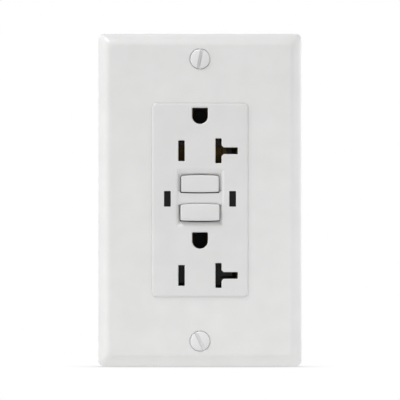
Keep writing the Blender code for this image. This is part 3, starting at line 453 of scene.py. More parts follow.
def smoke_lens(name):
    """Smoked transparent plastic over a dark light pipe."""
    s = Shader(name)
    haze = s.noise(1.4 * MM, 2.0)
    tint = s.mixed(s.spread(haze, 0.0, 1.0), (0.006, 0.006, 0.007), (0.009, 0.009, 0.010))
    return s.finish(Base_Color=tint, Roughness=0.30, IOR=1.33, Normal=s.bump(haze, 0.01 * MM, 0.3))


def fibre(name):
    """Pressed fibre board, with short pale fibres lying every way."""
    s = Shader(name)
    strands = s.noise(0.3 * MM, 5.0, (4, 1, 1))
    across = s.noise(0.3 * MM, 5.0, (1, 1, 4))
    first = s.mixed(s.spread(strands, 0.0, 1.0), (0.42, 0.30, 0.17), (0.60, 0.47, 0.30))
    colour = s.mixed(s.spread(across, 0.0, 0.5), first, (0.66, 0.54, 0.36))
    return s.finish(Base_Color=colour, Roughness=0.85, Normal=s.bump(strands, 0.04 * MM, 0.8))


def board(name):
    """Green solder mask over glass cloth, with paler copper areas under it and painted shade deep inside the
    body.
    """
    s = Shader(name)
    mapped = s.node("ShaderNodeMapping", Vector=s.place, Scale=(420, 420, 420))
    cells = s.node("ShaderNodeTexVoronoi", Vector=mapped.outputs["Vector"])
    cells.distance = "MANHATTAN"
    areas = s.spread(cells.outputs["Distance"], 0.0, 1.0, 0.42, 0.46)
    weave = s.noise(0.35 * MM, 1.0, (1, 1, 3))
    mask = s.mixed(areas, (0.02, 0.13, 0.05), (0.035, 0.22, 0.09))
    # Painted shade: darker deep inside the body.
    colour = s.shaded_nooks(mask, (0.030, 0.020, 0.012), INTERIOR, 0.05, 0.6)
    return s.finish(Base_Color=colour, Roughness=0.32, Coat_Weight=0.4,
                    Normal=s.bump(weave, 0.02 * MM, 0.5, s.bump(areas, 0.03 * MM, 0.8)))


def winding(name):
    """Enamelled copper wire: warm and glossy, with painted shade between the turns and deep inside the body.
    """
    s = Shader(name)
    # Painted shade between the turns.
    shaded_turns = s.shaded_nooks((0.60, 0.22, 0.09), (0.16, 0.045, 0.02), 0.4 * MM, 0.3, 0.9)
    # Painted shade deep inside the body.
    colour = s.shaded_nooks(shaded_turns, (0.016, 0.008, 0.005), INTERIOR, 0.06, 0.75)
    return s.finish(Base_Color=colour, Metallic=0.85, Roughness=0.28, Coat_Weight=0.6,
                    Normal=s.bump(s.noise(0.3 * MM), 0.01 * MM, 0.5))


def make_looks():
    """Every material, by its slot's name."""
    along_x, along_y, along_z = (12, 1, 1), (1, 12, 1), (1, 1, 12)
    made = [
        moulded("plate_white", (0.800, 0.800, 0.792), 0.30),
        # Stronger and wider painted shade on the face, in the button dish and round its openings.
        moulded("face_white", (0.757, 0.759, 0.752), 0.34, 0.006, 0.02, 0.72, 1.0),
        enamel("screw_white", (0.80, 0.80, 0.795), 0.26),
        metal("zinc_steel", (0.66, 0.67, 0.69), 0.34, along_z, (0.48, 0.50, 0.55)),
        metal("dark_steel", (0.22, 0.22, 0.24), 0.40, along_y, (0.12, 0.10, 0.09)),
        metal("brass", (0.74, 0.52, 0.20), 0.30, along_z, (0.42, 0.24, 0.09), 0.5),
        metal("brass_screw", (0.86, 0.64, 0.28), 0.24, along_x, (0.60, 0.38, 0.14)),
        metal("nickel", (0.74, 0.73, 0.70), 0.24, along_x, (0.58, 0.56, 0.52)),
        metal("green_screw", (0.035, 0.33, 0.10), 0.30, along_x, (0.02, 0.20, 0.07)),
        winding("copper_wire"),
        moulded("housing_grey", (0.062, 0.065, 0.072), 0.46, 0.03, 0.06, 0.7),
        moulded("middle_grey", (0.090, 0.086, 0.084), 0.48, 0.03, 0.06, 0.7),
        smoke_lens("smoke_lens"),
        moulded("nylon", (0.62, 0.59, 0.50), 0.50, 0.02, 0.04),
        fibre("fibre"),
        board("board_green"),
        moulded("chip_black", (0.022, 0.022, 0.024), 0.5, 0.05, 0.1, 0.7),
        moulded("varistor_blue", (0.03, 0.11, 0.42), 0.42, 0.03, 0.08, 0.7),
        moulded("capacitor_yellow", (0.60, 0.38, 0.06), 0.38, 0.03, 0.05, 0.7),
        moulded("resistor_tan", (0.52, 0.36, 0.19), 0.42, 0.03, 0.06, 0.7),
        moulded("ferrite", (0.055, 0.052, 0.052), 0.55, 0.05, 0.15, 0.7),
    ]
    return {slot_name(material): material for material in made}


def slot_name(material):
    """A material's name without the number that Blender adds to a name in use."""
    return material.name.split(".")[0]


# ---- Wall plate ---------------------------------------------------------------------------------
def bezier(points, steps):
    """Points along a cubic curve with the four given handles."""
    curve = []
    for step in range(steps + 1):
        t = step / steps
        weights = ((1 - t) ** 3, 3 * t * (1 - t) ** 2, 3 * t ** 2 * (1 - t), t ** 3)
        curve.append(tuple(sum(w * p[i] for w, p in zip(weights, points)) for i in (0, 1)))
    return curve


def wall_plate():
    """A shell with a straight rim, a crowned bevel and a flat field round its opening."""
    low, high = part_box("wall_plate")
    size, front, back = (high.x - low.x, high.z - low.z), low.y, high.y
    gap, edge, ease = 0.02 * MM, 0.06 * MM, 0.2 * MM
    shoulder, wall, rim = back - 2.4 * MM, 2.0 * MM, 1.8 * MM
    opening, corner = (FACE[0] + 2 * gap, FACE[1] + 2 * gap), FACE[2] + gap
    crown = bezier(((0.0, shoulder), (0.6 * MM, shoulder - 1.2 * MM),
                    (2.2 * MM, front), (4.3 * MM, front)), 14)
    under = bezier(((rim, shoulder + 0.5 * MM), (2.3 * MM, shoulder - 0.6 * MM),
                    (4.2 * MM, front + wall), (5.4 * MM, front + wall)), 8)
    lip = [(grow, front + depth) for grow, depth in quarter_round(edge)]
    lip += [(grow, front + wall - depth) for grow, depth in quarter_round(edge)[::-1]]
    rings = [inset_ring(size, inset, (1.9 - 0.1 * inset / MM) * MM, y) for inset, y in crown]
    rings += [inset_ring(opening, -grow, corner + grow, y) for grow, y in lip]
    rings += [inset_ring(size, inset, 1.0 * MM, y) for inset, y in under[::-1]]
    rings += [inset_ring(size, inset, radius, y) for inset, radius, y in (
        (rim, 0.9 * MM, back - ease), (rim - ease, 1.0 * MM, back),
        (ease, 1.7 * MM, back), (0.0, 1.9 * MM, back - ease))]
    plate = loft("wall_plate_shell", rings, hollow=True)
    add_plate_ribs(plate, front + wall, back)
    place(plate, "root", "plate_white", "wall_plate")


def add_plate_ribs(plate, floor, back):
    """Stiffening ribs and screw bosses on the back of the plate, and the screws' sinks."""
    rib_x, wall_x, rib_half, ease = 25.6 * MM, 31.6 * MM, 0.55 * MM, 0.2 * MM
    foot, rib_top = floor - 0.3 * MM, back - 1.3 * MM
    front = floor - 2.0 * MM
    tools, sinks = [], []
    for sign in SIDES:
        tools.append(block("rib", around(sign * rib_x, rib_half), (foot, rib_top),
                           around(0, 50.5 * MM), ease))
        for z in (-30 * MM, 0.0, 30 * MM):
            tools.append(block("tie", sided(sign, (rib_x, wall_x)), (foot, rib_top - 0.5 * MM),
                               around(z, rib_half), ease))
    for label in ENDS:
        middle = node_middle("plate_screw_" + label)
        tools.append(turned("boss", "Y", middle, [
            (floor - 0.4 * MM, 4.4 * MM), (floor + 1.2 * MM, 4.2 * MM), (floor + 1.4 * MM, 4.0 * MM)]))
        sinks.append(turned("sink", "Y", middle, [
            (front - PAST, 3.90 * MM), (front, 3.90 * MM), (front + 0.03 * MM, 3.72 * MM),
            (front + 0.10 * MM, 3.55 * MM), (front + 0.22 * MM, 3.46 * MM), (front + 0.5 * MM, 3.43 * MM),
            (front + 1.7 * MM, 2.1 * MM), (floor + 3 * MM, 2.1 * MM),
        ]))
    join(plate, *tools)
    cut(plate, *sinks)


# ---- Screws -------------------------------------------------------------------------------------
def plate_screw(label, lean):
    """An oval-head screw in white enamel. lean tips the slot's upper end to the right, in degrees."""
    name = "plate_screw_" + label
    low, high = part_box(name)
    z, top, tip = (low.z + high.z) / 2, low.y, high.y
    head, rise, shank = (high.x - low.x) / 2, 0.75 * MM, 1.6 * MM
    angles = [share * math.pi / 2 for share in (0.08, 0.2, 0.35, 0.5, 0.65, 0.8, 0.92, 1.0)]
    profile = [(top + rise * (1 - math.cos(a)), head * math.sin(a)) for a in angles]
    profile += [(top + 0.95 * MM, head), (top + 2.5 * MM, shank)]
    profile += thread(top + 2.6 * MM, tip - 0.5 * MM, shank, 1.28 * MM, PITCH)
    profile += [(tip - 0.4 * MM, 1.2 * MM), (tip, 0.8 * MM)]
    screw = turned(name + "_turned", "Y", (0, 0, z), profile, 48)
    slot = block("slot", around(0, 0.55 * MM), (top - PAST, top + 0.9 * MM), around(0, 4 * MM), 0.12 * MM)
    cut(screw, tilted(slot, (0, 0, z), "Y", lean))
    place(screw, name + "_body", "screw_white", name)


def pan_head(top, under, radius, direction):
    """Profile of a pan head from its crown to its underside."""
    depth = direction * abs(under - top)
    shares = ((0.03, 0.66), (0.10, 0.80), (0.24, 0.92), (0.45, 0.98), (0.62, 1.0))
    crown = [(top, radius * 0.5)] + [(top + down * depth, radius * out) for down, out in shares]
    return crown + [(under - 0.06 * depth, radius), (under, radius * 0.97)]


def mounting_screw(label):
    """The long screw into the wall box, with a slot and a cross in its head."""
    name = "mounting_screw_" + label
    low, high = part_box(name)
    z, top, tip, head = (low.z + high.z) / 2, low.y, high.y, (high.x - low.x) / 2
    under = top + 2.0 * MM
    profile = pan_head(top, under, head, 1) + [(under, 1.6 * MM), (under + 0.4 * MM, 1.6 * MM)]
    profile += thread(under + 0.5 * MM, tip - 0.8 * MM, 1.65 * MM, 1.3 * MM, PITCH)
    profile += [(tip - 0.6 * MM, 1.25 * MM), (tip, 0.75 * MM)]
    screw = turned(name + "_turned", "Y", (0, 0, z), profile, 36)
    depth = (top - PAST, top + DRIVE_DEPTH)
    cut(screw, block("slot", around(0, 4.2 * MM), depth, around(z, 0.6 * MM)),
        block("cross", around(0, 0.6 * MM), depth, around(z, 1.9 * MM)))
    place(screw, name + "_body", "zinc_steel", name)


def side_screw(name, look, turn):
    """A binding-head screw along X, with a slot and a cross, and a thread on its shank."""
    low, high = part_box(name)
    sign = 1 if low.x > 0 else -1
    outer, tip = (high.x, low.x) if sign > 0 else (low.x, high.x)
    under = outer - sign * 2.4 * MM
    radius = (high.z - low.z) / 2
    centre = (0, (low.y + high.y) / 2, (low.z + high.z) / 2)
    profile = pan_head(outer, under, radius, -sign)
    profile += [(under, 2.3 * MM), (under - sign * 0.3 * MM, 1.9 * MM)]
    profile += thread(under - sign * 0.4 * MM, tip + sign * 0.6 * MM, 1.95 * MM, 1.55 * MM, PITCH)
    profile += [(tip + sign * 0.5 * MM, 1.5 * MM), (tip, 1.0 * MM)]
    screw = turned(name + "_turned", "X", centre, profile, 40)
    depth = sided(1, (outer + sign * PAST, outer - sign * DRIVE_DEPTH))
    long_cut = block("slot", depth, around(0, 4.4 * MM), around(0, 0.6 * MM), 0.08 * MM)
    cross_cut = block("cross", depth, around(0, 0.6 * MM), around(0, 2.1 * MM), 0.08 * MM)
    cut(screw, tilted(long_cut, centre, "X", turn), tilted(cross_cut, centre, "X", turn))
    place(screw, name + "_body", look, name)


def case_screw(name):
    """A thread-forming screw in a counterbore of the rear cover."""
    low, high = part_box(name)
    centre = ((low.x + high.x) / 2, 0, (low.z + high.z) / 2)
    top, tip, head = high.y, low.y, (high.x - low.x) / 2
    under = top - 1.8 * MM
    profile = pan_head(top, under, head, -1) + [(under, 1.1 * MM)]
    profile += thread(under - 0.2 * MM, tip + 1.4 * MM, 1.1 * MM, 0.8 * MM, 0.9 * MM)
    profile += [(tip + 1.2 * MM, 0.75 * MM), (tip, 0.2 * MM)]
    screw = turned(name + "_turned", "Y", centre, profile, 32)
    depth = (top - DRIVE_DEPTH, top + PAST)
    long_half, short_half = 1.2 * MM, 0.32 * MM
    arms = [block("drive", around(centre[0], a), depth, around(centre[2], b))
            for a, b in ((long_half, short_half), (short_half, long_half))]
    cut(screw, *arms)
    place(screw, "root", "zinc_steel", name)


# ---- Face cover and buttons ---------------------------------------------------------------------
def ground_outline(z, width=5.4 * MM, height=5.6 * MM, steps=20):
    """A ground pin opening: flat on top with tight corners, round at the bottom."""
    radius = width / 2
    arc_z = z - height / 2 + radius
    top = z + height / 2
    ease = 0.35 * MM
    points = [(radius, top - ease), (radius - 0.3 * ease, top - 0.3 * ease), (radius - ease, top),
              (-radius + ease, top), (-radius + 0.3 * ease, top - 0.3 * ease), (-radius, top - ease)]
    for step in range(steps + 1):
        angle = math.pi + math.pi * step / steps
        points.append((radius * math.cos(angle), arc_z + radius * math.sin(angle)))
    return points


def neutral_outline(x, z):
    """The T-shaped opening of a 20 A outlet. The inner corners are eased, the outer ones tight."""
    half_width, half_height = 1.05 * MM, 4.25 * MM
    arm_end, arm_half, ease = x + 6.6 * MM, 1.15 * MM, 0.7 * MM
    left, right = x - half_width, x + half_width
    corners = [
        (left, z - half_height), (right, z - half_height),
        (right, z - arm_half - ease), (right + ease, z - arm_half),
        (arm_end, z - arm_half), (arm_end, z + arm_half),
        (right + ease, z + arm_half), (right, z + arm_half + ease),
        (right, z + half_height), (left, z + half_height),
    ]
    return rounded_corners(corners, 0.22 * MM, 2)


def button_outline(size, z, inset=0.0, steps=6, columns=10):
    """A button: a crowned top edge with rounded corners, straight sides and a squarer bottom edge."""
    half_width, half_height = size[0] / 2 - inset, size[1] / 2 - inset

    def half(corner, crown):
        """The upper edge from right to left, with its two corners."""
        corner = max(0.05 * MM, corner - inset)
        crown *= max(0.0, 1 - inset / (size[1] / 2))

        def sag(x):
            return crown * (x / half_width) ** 2

        quarter = []
        for step in range(steps + 1):
            angle = step / steps * math.pi / 2
            x = half_width - corner + corner * math.cos(angle)
            quarter.append((x, half_height - sag(x) - corner + corner * math.sin(angle)))
        reach = half_width - corner
        places = [reach * (1 - 2 * i / columns) for i in range(1, columns)]
        middle = [(x, half_height - sag(x)) for x in places]
        return quarter + middle + [(-x, level) for x, level in quarter[::-1]]

    upper = half(0.55 * MM, 0.32 * MM)
    lower = [(-x, -level) for x, level in half(0.30 * MM, 0.16 * MM)]
    return [(x, z + level) for x, level in upper + lower]


def button_cap(name, size, z, front, back, crowning, chin):
    """A cap with rounded edges and a slightly pillowed front. chin sets its lower edge back."""
    edge, steps = 0.42 * MM, 8
    chin_size, chin_z = (size[0], size[1] - chin), z + chin / 2
    reach = chin_size[1] / 2 - edge
    rings = []
    for step in range(steps, 0, -1):
        share = 0.97 * step / steps
        level = front + crowning * (1 - share) ** 2
        rings.append(at_depth(button_outline(chin_size, chin_z, edge + reach * share), level))
    for gap, depth in quarter_round(edge, 5):
        part = chin * gap / edge
        here = (size[0], size[1] - part)
        rings.append(at_depth(button_outline(here, z + part / 2, gap), front + crowning + 2 * depth))
    rings.append(at_depth(button_outline(size, z), back))
    return loft(name, rings)


def reset_button(size, z):
    """The lower button, on a hollow stem that takes the reset pin."""
    low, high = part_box("reset_button")
    cap = button_cap("reset_button_cap", size, z, low.y, CAP_BACK, 0.10 * MM, 0.42 * MM)
    centre = (0, 0, node_middle("reset_pin").z)
    join(cap, rod("stem", "Y", centre, 1.9 * MM, (CAP_BACK - 0.5 * MM, high.y)))
    cut(cap, rod("socket", "Y", centre, 1.15 * MM, (CAP_BACK + 1.0 * MM, high.y + PAST)))
    place(cap, "reset_body", "face_white", "reset_button")


def test_button(size, z):
    """The upper button, on a foot that presses the test leaf."""
    low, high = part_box("test_button")
    cap = button_cap("test_button_cap", size, z, low.y, CAP_BACK, 0.06 * MM, 0.15 * MM)
    join(cap, rod("foot", "Y", (0, 0, z - 0.35 * MM), 1.5 * MM, (CAP_BACK - 0.5 * MM, high.y)))
    place(cap, "test_body", "face_white", "test_button")


def cap_place(name):
    """A button cap's (width, height) and the height of its middle."""
    low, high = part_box(name)
    return (high.x - low.x, high.z - low.z), (low.z + high.z) / 2


def face_cover(test, reset):
    """The front shell: raised face, skirt behind the plate, slots with rounded rims and the dish."""
    low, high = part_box("face_cover")
    front, back = low.y, high.y
    flange, face_wall = front + 3.0 * MM, 2.2 * MM
    cover = face_shell(low, high, flange, face_wall)
    bosses, bores = [], []
    for corner in CORNERS:
        middle = node_middle("case_screw_" + corner)
        bosses.append(rod("boss", "Y", middle, 2.5 * MM, (flange + 1.4 * MM, back - 0.1 * MM)))
        bores.append(rod("bore", "Y", middle, 1.35 * MM, (flange + 2.6 * MM, back + PAST)))
    join(cover, *bosses)
    cut(cover, *bores)
    cut(cover, *face_openings(front, front + face_wall + PAST, back + PAST))
    button_dish(cover, front, test, reset)
    place(cover, "root", "face_white", "face_cover")


def face_shell(low, high, flange, face_wall):
    """The raised face on its wider skirt, open at the back."""
    front, back = low.y, high.y
    skin, inner_radius, ease = 1.6 * MM, 0.8 * MM, 0.2 * MM
    face_width, face_height, face_radius = FACE
    width, height = high.x - low.x, high.z - low.z
    face = [(2.0 * gap, front + depth) for gap, depth in quarter_round(0.42 * MM, 7)] + [(0.0, flange)]
    skirt = [(gap, flange + depth) for gap, depth in quarter_round(0.5 * MM)]
    skirt += [(gap, back - depth) for gap, depth in quarter_round(0.15 * MM, 2)[::-1]]
    rings = [inset_ring(FACE, inset, face_radius - 0.7 * inset, y) for inset, y in face]
    rings += [inset_ring((width, height), inset, 2.0 * MM - inset, y) for inset, y in skirt]
    inside = rounded_outline(face_width - 2 * skin, face_height - 2 * skin, inner_radius)
    behind = rounded_outline(width - 2 * skin, height - 2 * skin, inner_radius)
    return cut(loft("face_cover_shell", rings),
               eased_slab("inside", inside, (front + face_wall, back + PAST), ease),
               eased_slab("behind", behind, (flange + 1.8 * MM, back + PAST), ease))


def face_openings(front, end, notch_end):
    """Cutters for the blade slots, ground holes and windows, and for the strap's two notches."""
    blade_rim, ground_rim, window_rim, room = 0.40 * MM, 0.62 * MM, 0.12 * MM, 0.2 * MM
    tools = []
    for label in ENDS:
        ground_z = node_middle("ground_contact_" + label).z
        z = ground_z - 12.0 * MM
        hot = rounded_outline(2.2 * MM, 7.1 * MM, 0.22 * MM, (-BLADE_X, z), 3)
        tools.append(mouth("hot_slot", hot, blade_rim, front, end))
        tools.append(mouth("neutral_slot", neutral_outline(BLADE_X, z), blade_rim, front, end))
        tools.append(mouth("ground_hole", ground_outline(ground_z), ground_rim, front, end))
    for sign, label in ((-1, "left"), (1, "right")):
        name = "indicator_lens_" + label
        low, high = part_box(name)
        middle = node_middle(name)
        hole = rounded_outline(high.x - low.x + room, high.z - low.z + room, 0.2 * MM,
                               (middle.x, middle.z), 3)
        tools.append(mouth("window", hole, window_rim, front, end))
        tools.append(block("strap_notch", around(0, 13.3 * MM), (front + 5.0 * MM, notch_end),
                           sided(sign, (31.0 * MM, 35.0 * MM))))
    return tools


def button_dish(cover, front, test, reset):
    """The dish round the buttons. Its sides run down in a soft curve, and a bar parts the buttons."""
    outline = (-8.4 * MM, 8.4 * MM, -9.4 * MM, 11.1 * MM)       # left, right, bottom, top
    floor = (-7.0 * MM, 7.0 * MM, -7.55 * MM, 8.85 * MM)
    depth, overlap = 1.25 * MM, 0.4 * MM                        # the bar overlaps both holes
    level = front + depth

    def ring(share, y):
        left, right, bottom, top = (a + (b - a) * share for a, b in zip(outline, floor))
        middle = ((left + right) / 2, (bottom + top) / 2)
        return at_depth(rounded_outline(right - left, top - bottom, 0.25 * MM, middle, 2), y)

    steps = 8
    rings = [ring(-0.02, front - PAST), ring(-0.02, front)]
    for step in range(1, steps + 1):
        share = step / steps
        rings.append(ring(share, front + depth * share ** 2))
    cut(cover, loft("dish", rings))
    bar_z = (reset[1] + reset[0][1] / 2 - overlap, test[1] - test[0][1] / 2 + overlap)
    join(cover, block("bar", around(0, 7.9 * MM), (front + 0.35 * MM, level + 0.6 * MM), bar_z, 0.3 * MM))
    holes = []
    room, aside, rim = 0.36 * MM, 0.06 * MM, 0.10 * MM
    for (size, z), drop in ((test, 0.08 * MM), (reset, 0.16 * MM)):
        wide = (size[0] + room, size[1] + room)

        def hole(gap, y, wide=wide, z=z - drop):
            return at_depth([(x - aside, up) for x, up in button_outline(wide, z, -gap)], y)

        rings = [hole(rim, front - PAST)] + [hole(gap, level + sunk) for gap, sunk in quarter_round(rim, 3)]
        holes.append(loft("button_hole", rings + [hole(0.0, front + 3.4 * MM)]))
    cut(cover, *holes)


def indicator_lens(label):
    """The light pipe behind a window, with a softly domed end."""
    name = "indicator_lens_" + label
    low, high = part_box(name)
    size, middle = (high.x - low.x, high.z - low.z), node_middle(name)
    profile = [(0.9 * MM, low.y), (0.55 * MM, low.y + 0.02 * MM)]
    profile += [(gap, low.y + 0.07 * MM + depth) for gap, depth in quarter_round(0.2 * MM)]
    profile.append((0.0, high.y))
    rings = [inset_ring(size, inset, max(0.02 * MM, 0.22 * MM - inset), y, (middle.x, middle.z), 3)
             for inset, y in profile]
    place(loft(name + "_pipe", rings), "root", "smoke_lens", name)


# ---- Strap and housings -------------------------------------------------------------------------
def strap():
    """The steel yoke with rolled edges, pressed ears, tapped holes and its grounding tab."""
    tab_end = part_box("mounting_strap")[1].y
    front, back, ease = 4.4 * MM, 5.6 * MM, 0.05 * MM
    yoke = eased_slab("mounting_strap_pressed", strap_outline(), (front, back), 0.18 * MM)
    screw = node_middle("ground_screw")
    tab_x = (-15.0 * MM, -13.7 * MM)
    tools = [block("tab", tab_x, (front + 0.2 * MM, tab_end), around(screw.z - 0.75 * MM, 3.85 * MM),
                   0.2 * MM)]
    for sign in SIDES:
        for side in SIDES:
            tools.append(block("pad", sided(side, (14.4 * MM, 18.4 * MM)), (back - 0.4 * MM, back + 0.1 * MM),
                               sided(sign, (39.9 * MM, 43.4 * MM)), ease))
    join(yoke, *tools)
    through = (front - PAST, back + PAST)
    opening = block("button_opening", around(0, 4.6 * MM), through, around(0, 8.2 * MM))
    tapping = rod("tapping", "X", (0, screw.y, screw.z), 2.1 * MM, (tab_x[0] - PAST, tab_x[1] + PAST))
    cut(yoke, opening, tapping, *strap_holes(through, back))
    place(yoke, "root", "zinc_steel", "mounting_strap")


def strap_outline():
    """The yoke from the front: ears at both ends, and narrow arms between the contacts."""
    quarter = [(x * MM, z * MM) for x, z in (
        (8.6, 10.0), (4.0, 12.4), (4.0, 30.6), (13.0, 30.6), (13.0, 36.6), (17.8, 37.6),
        (19.2, 39.6), (19.2, 43.6), (17.8, 46.0), (13.4, 46.8), (12.2, 48.6), (9.6, 53.2),
    )]
    corners = quarter + [(-x, z) for x, z in quarter[::-1]]
    corners += [(-x, -z) for x, z in quarter]
    corners += [(x, -z) for x, z in quarter[:0:-1]]      # one corner fewer: that edge slants behind the face
    return rounded_corners(corners, 0.9 * MM, 4)


def strap_holes(through, back):
    """Cutters for the ground pins, the screws, and the scores where the ears break off."""
    score_x = 12.6 * MM
    holes = []
    for label, sign in ENDS.items():
        ground_z = node_middle("ground_contact_" + label).z
        slot_z = node_middle("mounting_screw_" + label).z
        plate_z = node_middle("plate_screw_" + label).z
        ground = ground_outline(ground_z, 5.8 * MM, 6.0 * MM)
        slot = rounded_outline(7.0 * MM, 4.2 * MM, 2.05 * MM, (0, slot_z))
        for outline in (ground, slot):
            holes.append(eased_slab("opening", outline, through, 0.01 * MM, 1))
        holes.append(rod("tapping", "Y", (0, 0, plate_z), 1.75 * MM, through))
        for side in SIDES:
            holes.append(rod("score", "Y", (side * score_x, 0, slot_z), 1.2 * MM, through))
            for level in (39.0 * MM, 44.2 * MM):
                holes.append(block("score_line", around(side * score_x, 0.25 * MM),
                                   (back - 0.35 * MM, back + PAST), around(sign * level, 1.9 * MM)))
    return holes


def rear_cover():
    """The dark rear shell: rounded edges, terminal bays, wire funnels, ribs and a gauge groove."""
    low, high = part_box("rear_cover")
    width, height, front, back = high.x - low.x, high.z - low.z, low.y, high.y
    skin, radius = 1.6 * MM, 2.0 * MM
    floor = back - skin
    rings = [inset_ring((width, height), gap, radius - gap, front + depth)
             for gap, depth in quarter_round(0.2 * MM, 2)]
    rings += [inset_ring((width, height), gap, radius - 0.6 * gap, back - depth)
              for gap, depth in quarter_round(1.1 * MM, 6)[::-1]]
    cover = loft("rear_cover_shell", rings)
    inside = rounded_outline(width - 2 * skin, height - 2 * skin, 0.6 * MM)
    cut(cover, eased_slab("inside", inside, (front - PAST, floor), 0.1 * MM, 2))
    corners = [node_middle("case_screw_" + corner) for corner in CORNERS]
    terminals = [node_middle(f"{circuit}_{polarity}_clamp")
                 for circuit in ("line", "load") for polarity in ("hot", "neutral")]
    join(cover, *[rod("boss", "Y", c, 2.8 * MM, (front, floor + 0.3 * MM)) for c in corners])
    join(cover, *terminal_bays(terminals, width / 2, front, floor))
    cut(cover, *[block("bar_notch", sided(sign, (11.2 * MM, 13.0 * MM)),
                       (front + 7.9 * MM, front + 9.5 * MM), (-18.4 * MM, -14.8 * MM)) for sign in SIDES])
    cuts = terminal_cuts(terminals, front, back) + screw_cuts(corners, back)
    cut(cover, *cuts, *back_recesses(back), *grip_grooves(width / 2, back))
    place(cover, "root", "housing_grey", "rear_cover")


def terminal_bays(terminals, side, front, floor):
    """Walls round each terminal, and the tubes that guide its two wires."""
    inner_x, depth = 11.6 * MM, (front + 1.5 * MM, floor + 0.4 * MM)
    walls = []
    for t in terminals:
        sx = 1 if t.x > 0 else -1
        walls.append(block("bay_wall", sided(sx, (inner_x, inner_x + 1.0 * MM)), depth,
                           around(t.z, 6.5 * MM)))
        for edge in SIDES:
            walls.append(block("bay_end", sided(sx, (inner_x, side - 0.4 * MM)), depth,
                               around(t.z + edge * 6.0 * MM, 0.5 * MM)))
            walls.append(rod("wire_guide", "Y", (sx * WIRE_X, 0, t.z + edge * WIRE_APART), 2.4 * MM,
                             (floor - 3.3 * MM, floor + 0.3 * MM)))
    return walls


def terminal_cuts(terminals, front, back):
    """Cutters for each terminal: a sunk pad, two wire entries, and the side window to its screw."""
    cuts = []
    for t in terminals:
        sx = 1 if t.x > 0 else -1
        pad = rounded_outline(6.4 * MM, 11.6 * MM, 1.4 * MM, (sx * WIRE_X, t.z))
        cuts.append(mouth_back("funnel_pad", pad, 0.25 * MM, back, back - 0.35 * MM))
        for edge in SIDES:
            centre = (sx * WIRE_X, 0, t.z + edge * WIRE_APART)
            cuts.append(turned("wire_entry", "Y", centre, [
                (back - 6.0 * MM, 1.7 * MM), (back - 1.1 * MM, 1.7 * MM), (back - 0.5 * MM, 2.15 * MM),
                (back - 0.3 * MM, 2.3 * MM), (back + PAST, 2.3 * MM)]))
        cuts.append(block("side_window", sided(sx, (18.9 * MM, 22.0 * MM)),
                          (front - PAST, front + 9.1 * MM), around(t.z, 4.7 * MM)))
    return cuts


def screw_cuts(corners, back):
    """Bores and counterbores for the case screws."""
    cuts = []
    for c in corners:
        cuts.append(rod("screw_bore", "Y", c, 1.4 * MM, (back - 16 * MM, back + PAST)))
        cuts.append(turned("counterbore", "Y", c, [
            (back - 3.2 * MM, 2.4 * MM), (back - 0.3 * MM, 2.4 * MM), (back, 2.75 * MM),
            (back + PAST, 2.75 * MM)]))
    return cuts


def back_recesses(back):
    """A shallow label recess, a strip gauge below it and a moulded recess above it."""
    cuts = []
    for name, width, height, radius, z, depth in (
            ("label_recess", 17.0, 34.0, 1.2, 0.0, 0.35), ("strip_gauge", 13.0, 2.4, 1.15, -27.5, 0.7),
            ("top_recess", 10.0, 3.4, 1.0, 27.0, 0.4)):
        outline = rounded_outline(width * MM, height * MM, radius * MM, (0, z * MM))
        cuts.append(mouth_back(name, outline, 0.2 * MM, back, back - depth * MM))
    return cuts


def grip_grooves(side, back):
    """Seven short grooves across each side wall."""
    count, pitch = 7, 1.7 * MM
    levels = [(k - count // 2) * pitch + pitch / 2 for k in range(count)]
    return [block("grip_groove", sided(sign, (side - 0.35 * MM, side + PAST)),
                  (back - 11.0 * MM, back - 2.6 * MM), around(level, 0.32 * MM), 0.12 * MM)
            for sign in SIDES for level in levels]


def mouth_back(name, outline, rim, face, end):
    """A cutter into the back, towards -Y, that leaves a rounded edge."""
    rings = [at_depth(grown(outline, rim), face + PAST)]
    rings += [at_depth(grown(outline, gap), face - depth) for gap, depth in quarter_round(rim, 3)]
    return loft(name, rings + [at_depth(outline, end)])


# ---- Carried-over nodes --------------------------------------------------------------------------
def refine(obj, ease):
    """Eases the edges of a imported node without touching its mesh."""
    modify(obj, "Weld", "WELD", merge_threshold=0.002 * MM)
    modify(obj, "Flat faces", "DECIMATE", decimate_type="DISSOLVE", angle_limit=math.radians(2))
    modify(obj, "Ease", "BEVEL", width=ease, segments=2, limit_method="ANGLE",
           angle_limit=math.radians(40), harden_normals=False, use_clamp_overlap=True)
    modify(obj, "Even normals", "WEIGHTED_NORMAL", keep_sharp=True)


def dress_nodes(nodes):
    """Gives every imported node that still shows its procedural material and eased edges."""
    for _, obj in sorted(nodes.items()):
        look = LOOKS[slot_name(obj.data.materials[0])]
        obj.data.materials.clear()
        obj.data.materials.append(look)
        if not obj.hide_render:
            refine(obj, 0.08 * MM)


def springs():
    """Both springs. Each runs from its fixed end to the end that a moving body pushes."""
    low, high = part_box("reset_spring")
    z = node_middle("reset_spring").z
    spring = coil("reset_spring_coil", "Y", (0, 0, z), 2.25 * MM, 0.22 * MM, (low.y, high.y), 5)
    dress_spring(spring, "reset_spring")
    low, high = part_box("plunger_spring")
    y = node_middle("plunger_spring").y
    spring = coil("plunger_spring_coil", "Z", (0, y, 0), 2.0 * MM, 0.18 * MM, (low.z, high.z), 2.5)
    dress_spring(spring, "plunger_spring")


def dress_spring(spring, node):
    shade(spring)
    spring.data.materials.append(LOOKS["nickel"])
    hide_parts(node)
    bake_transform(spring)


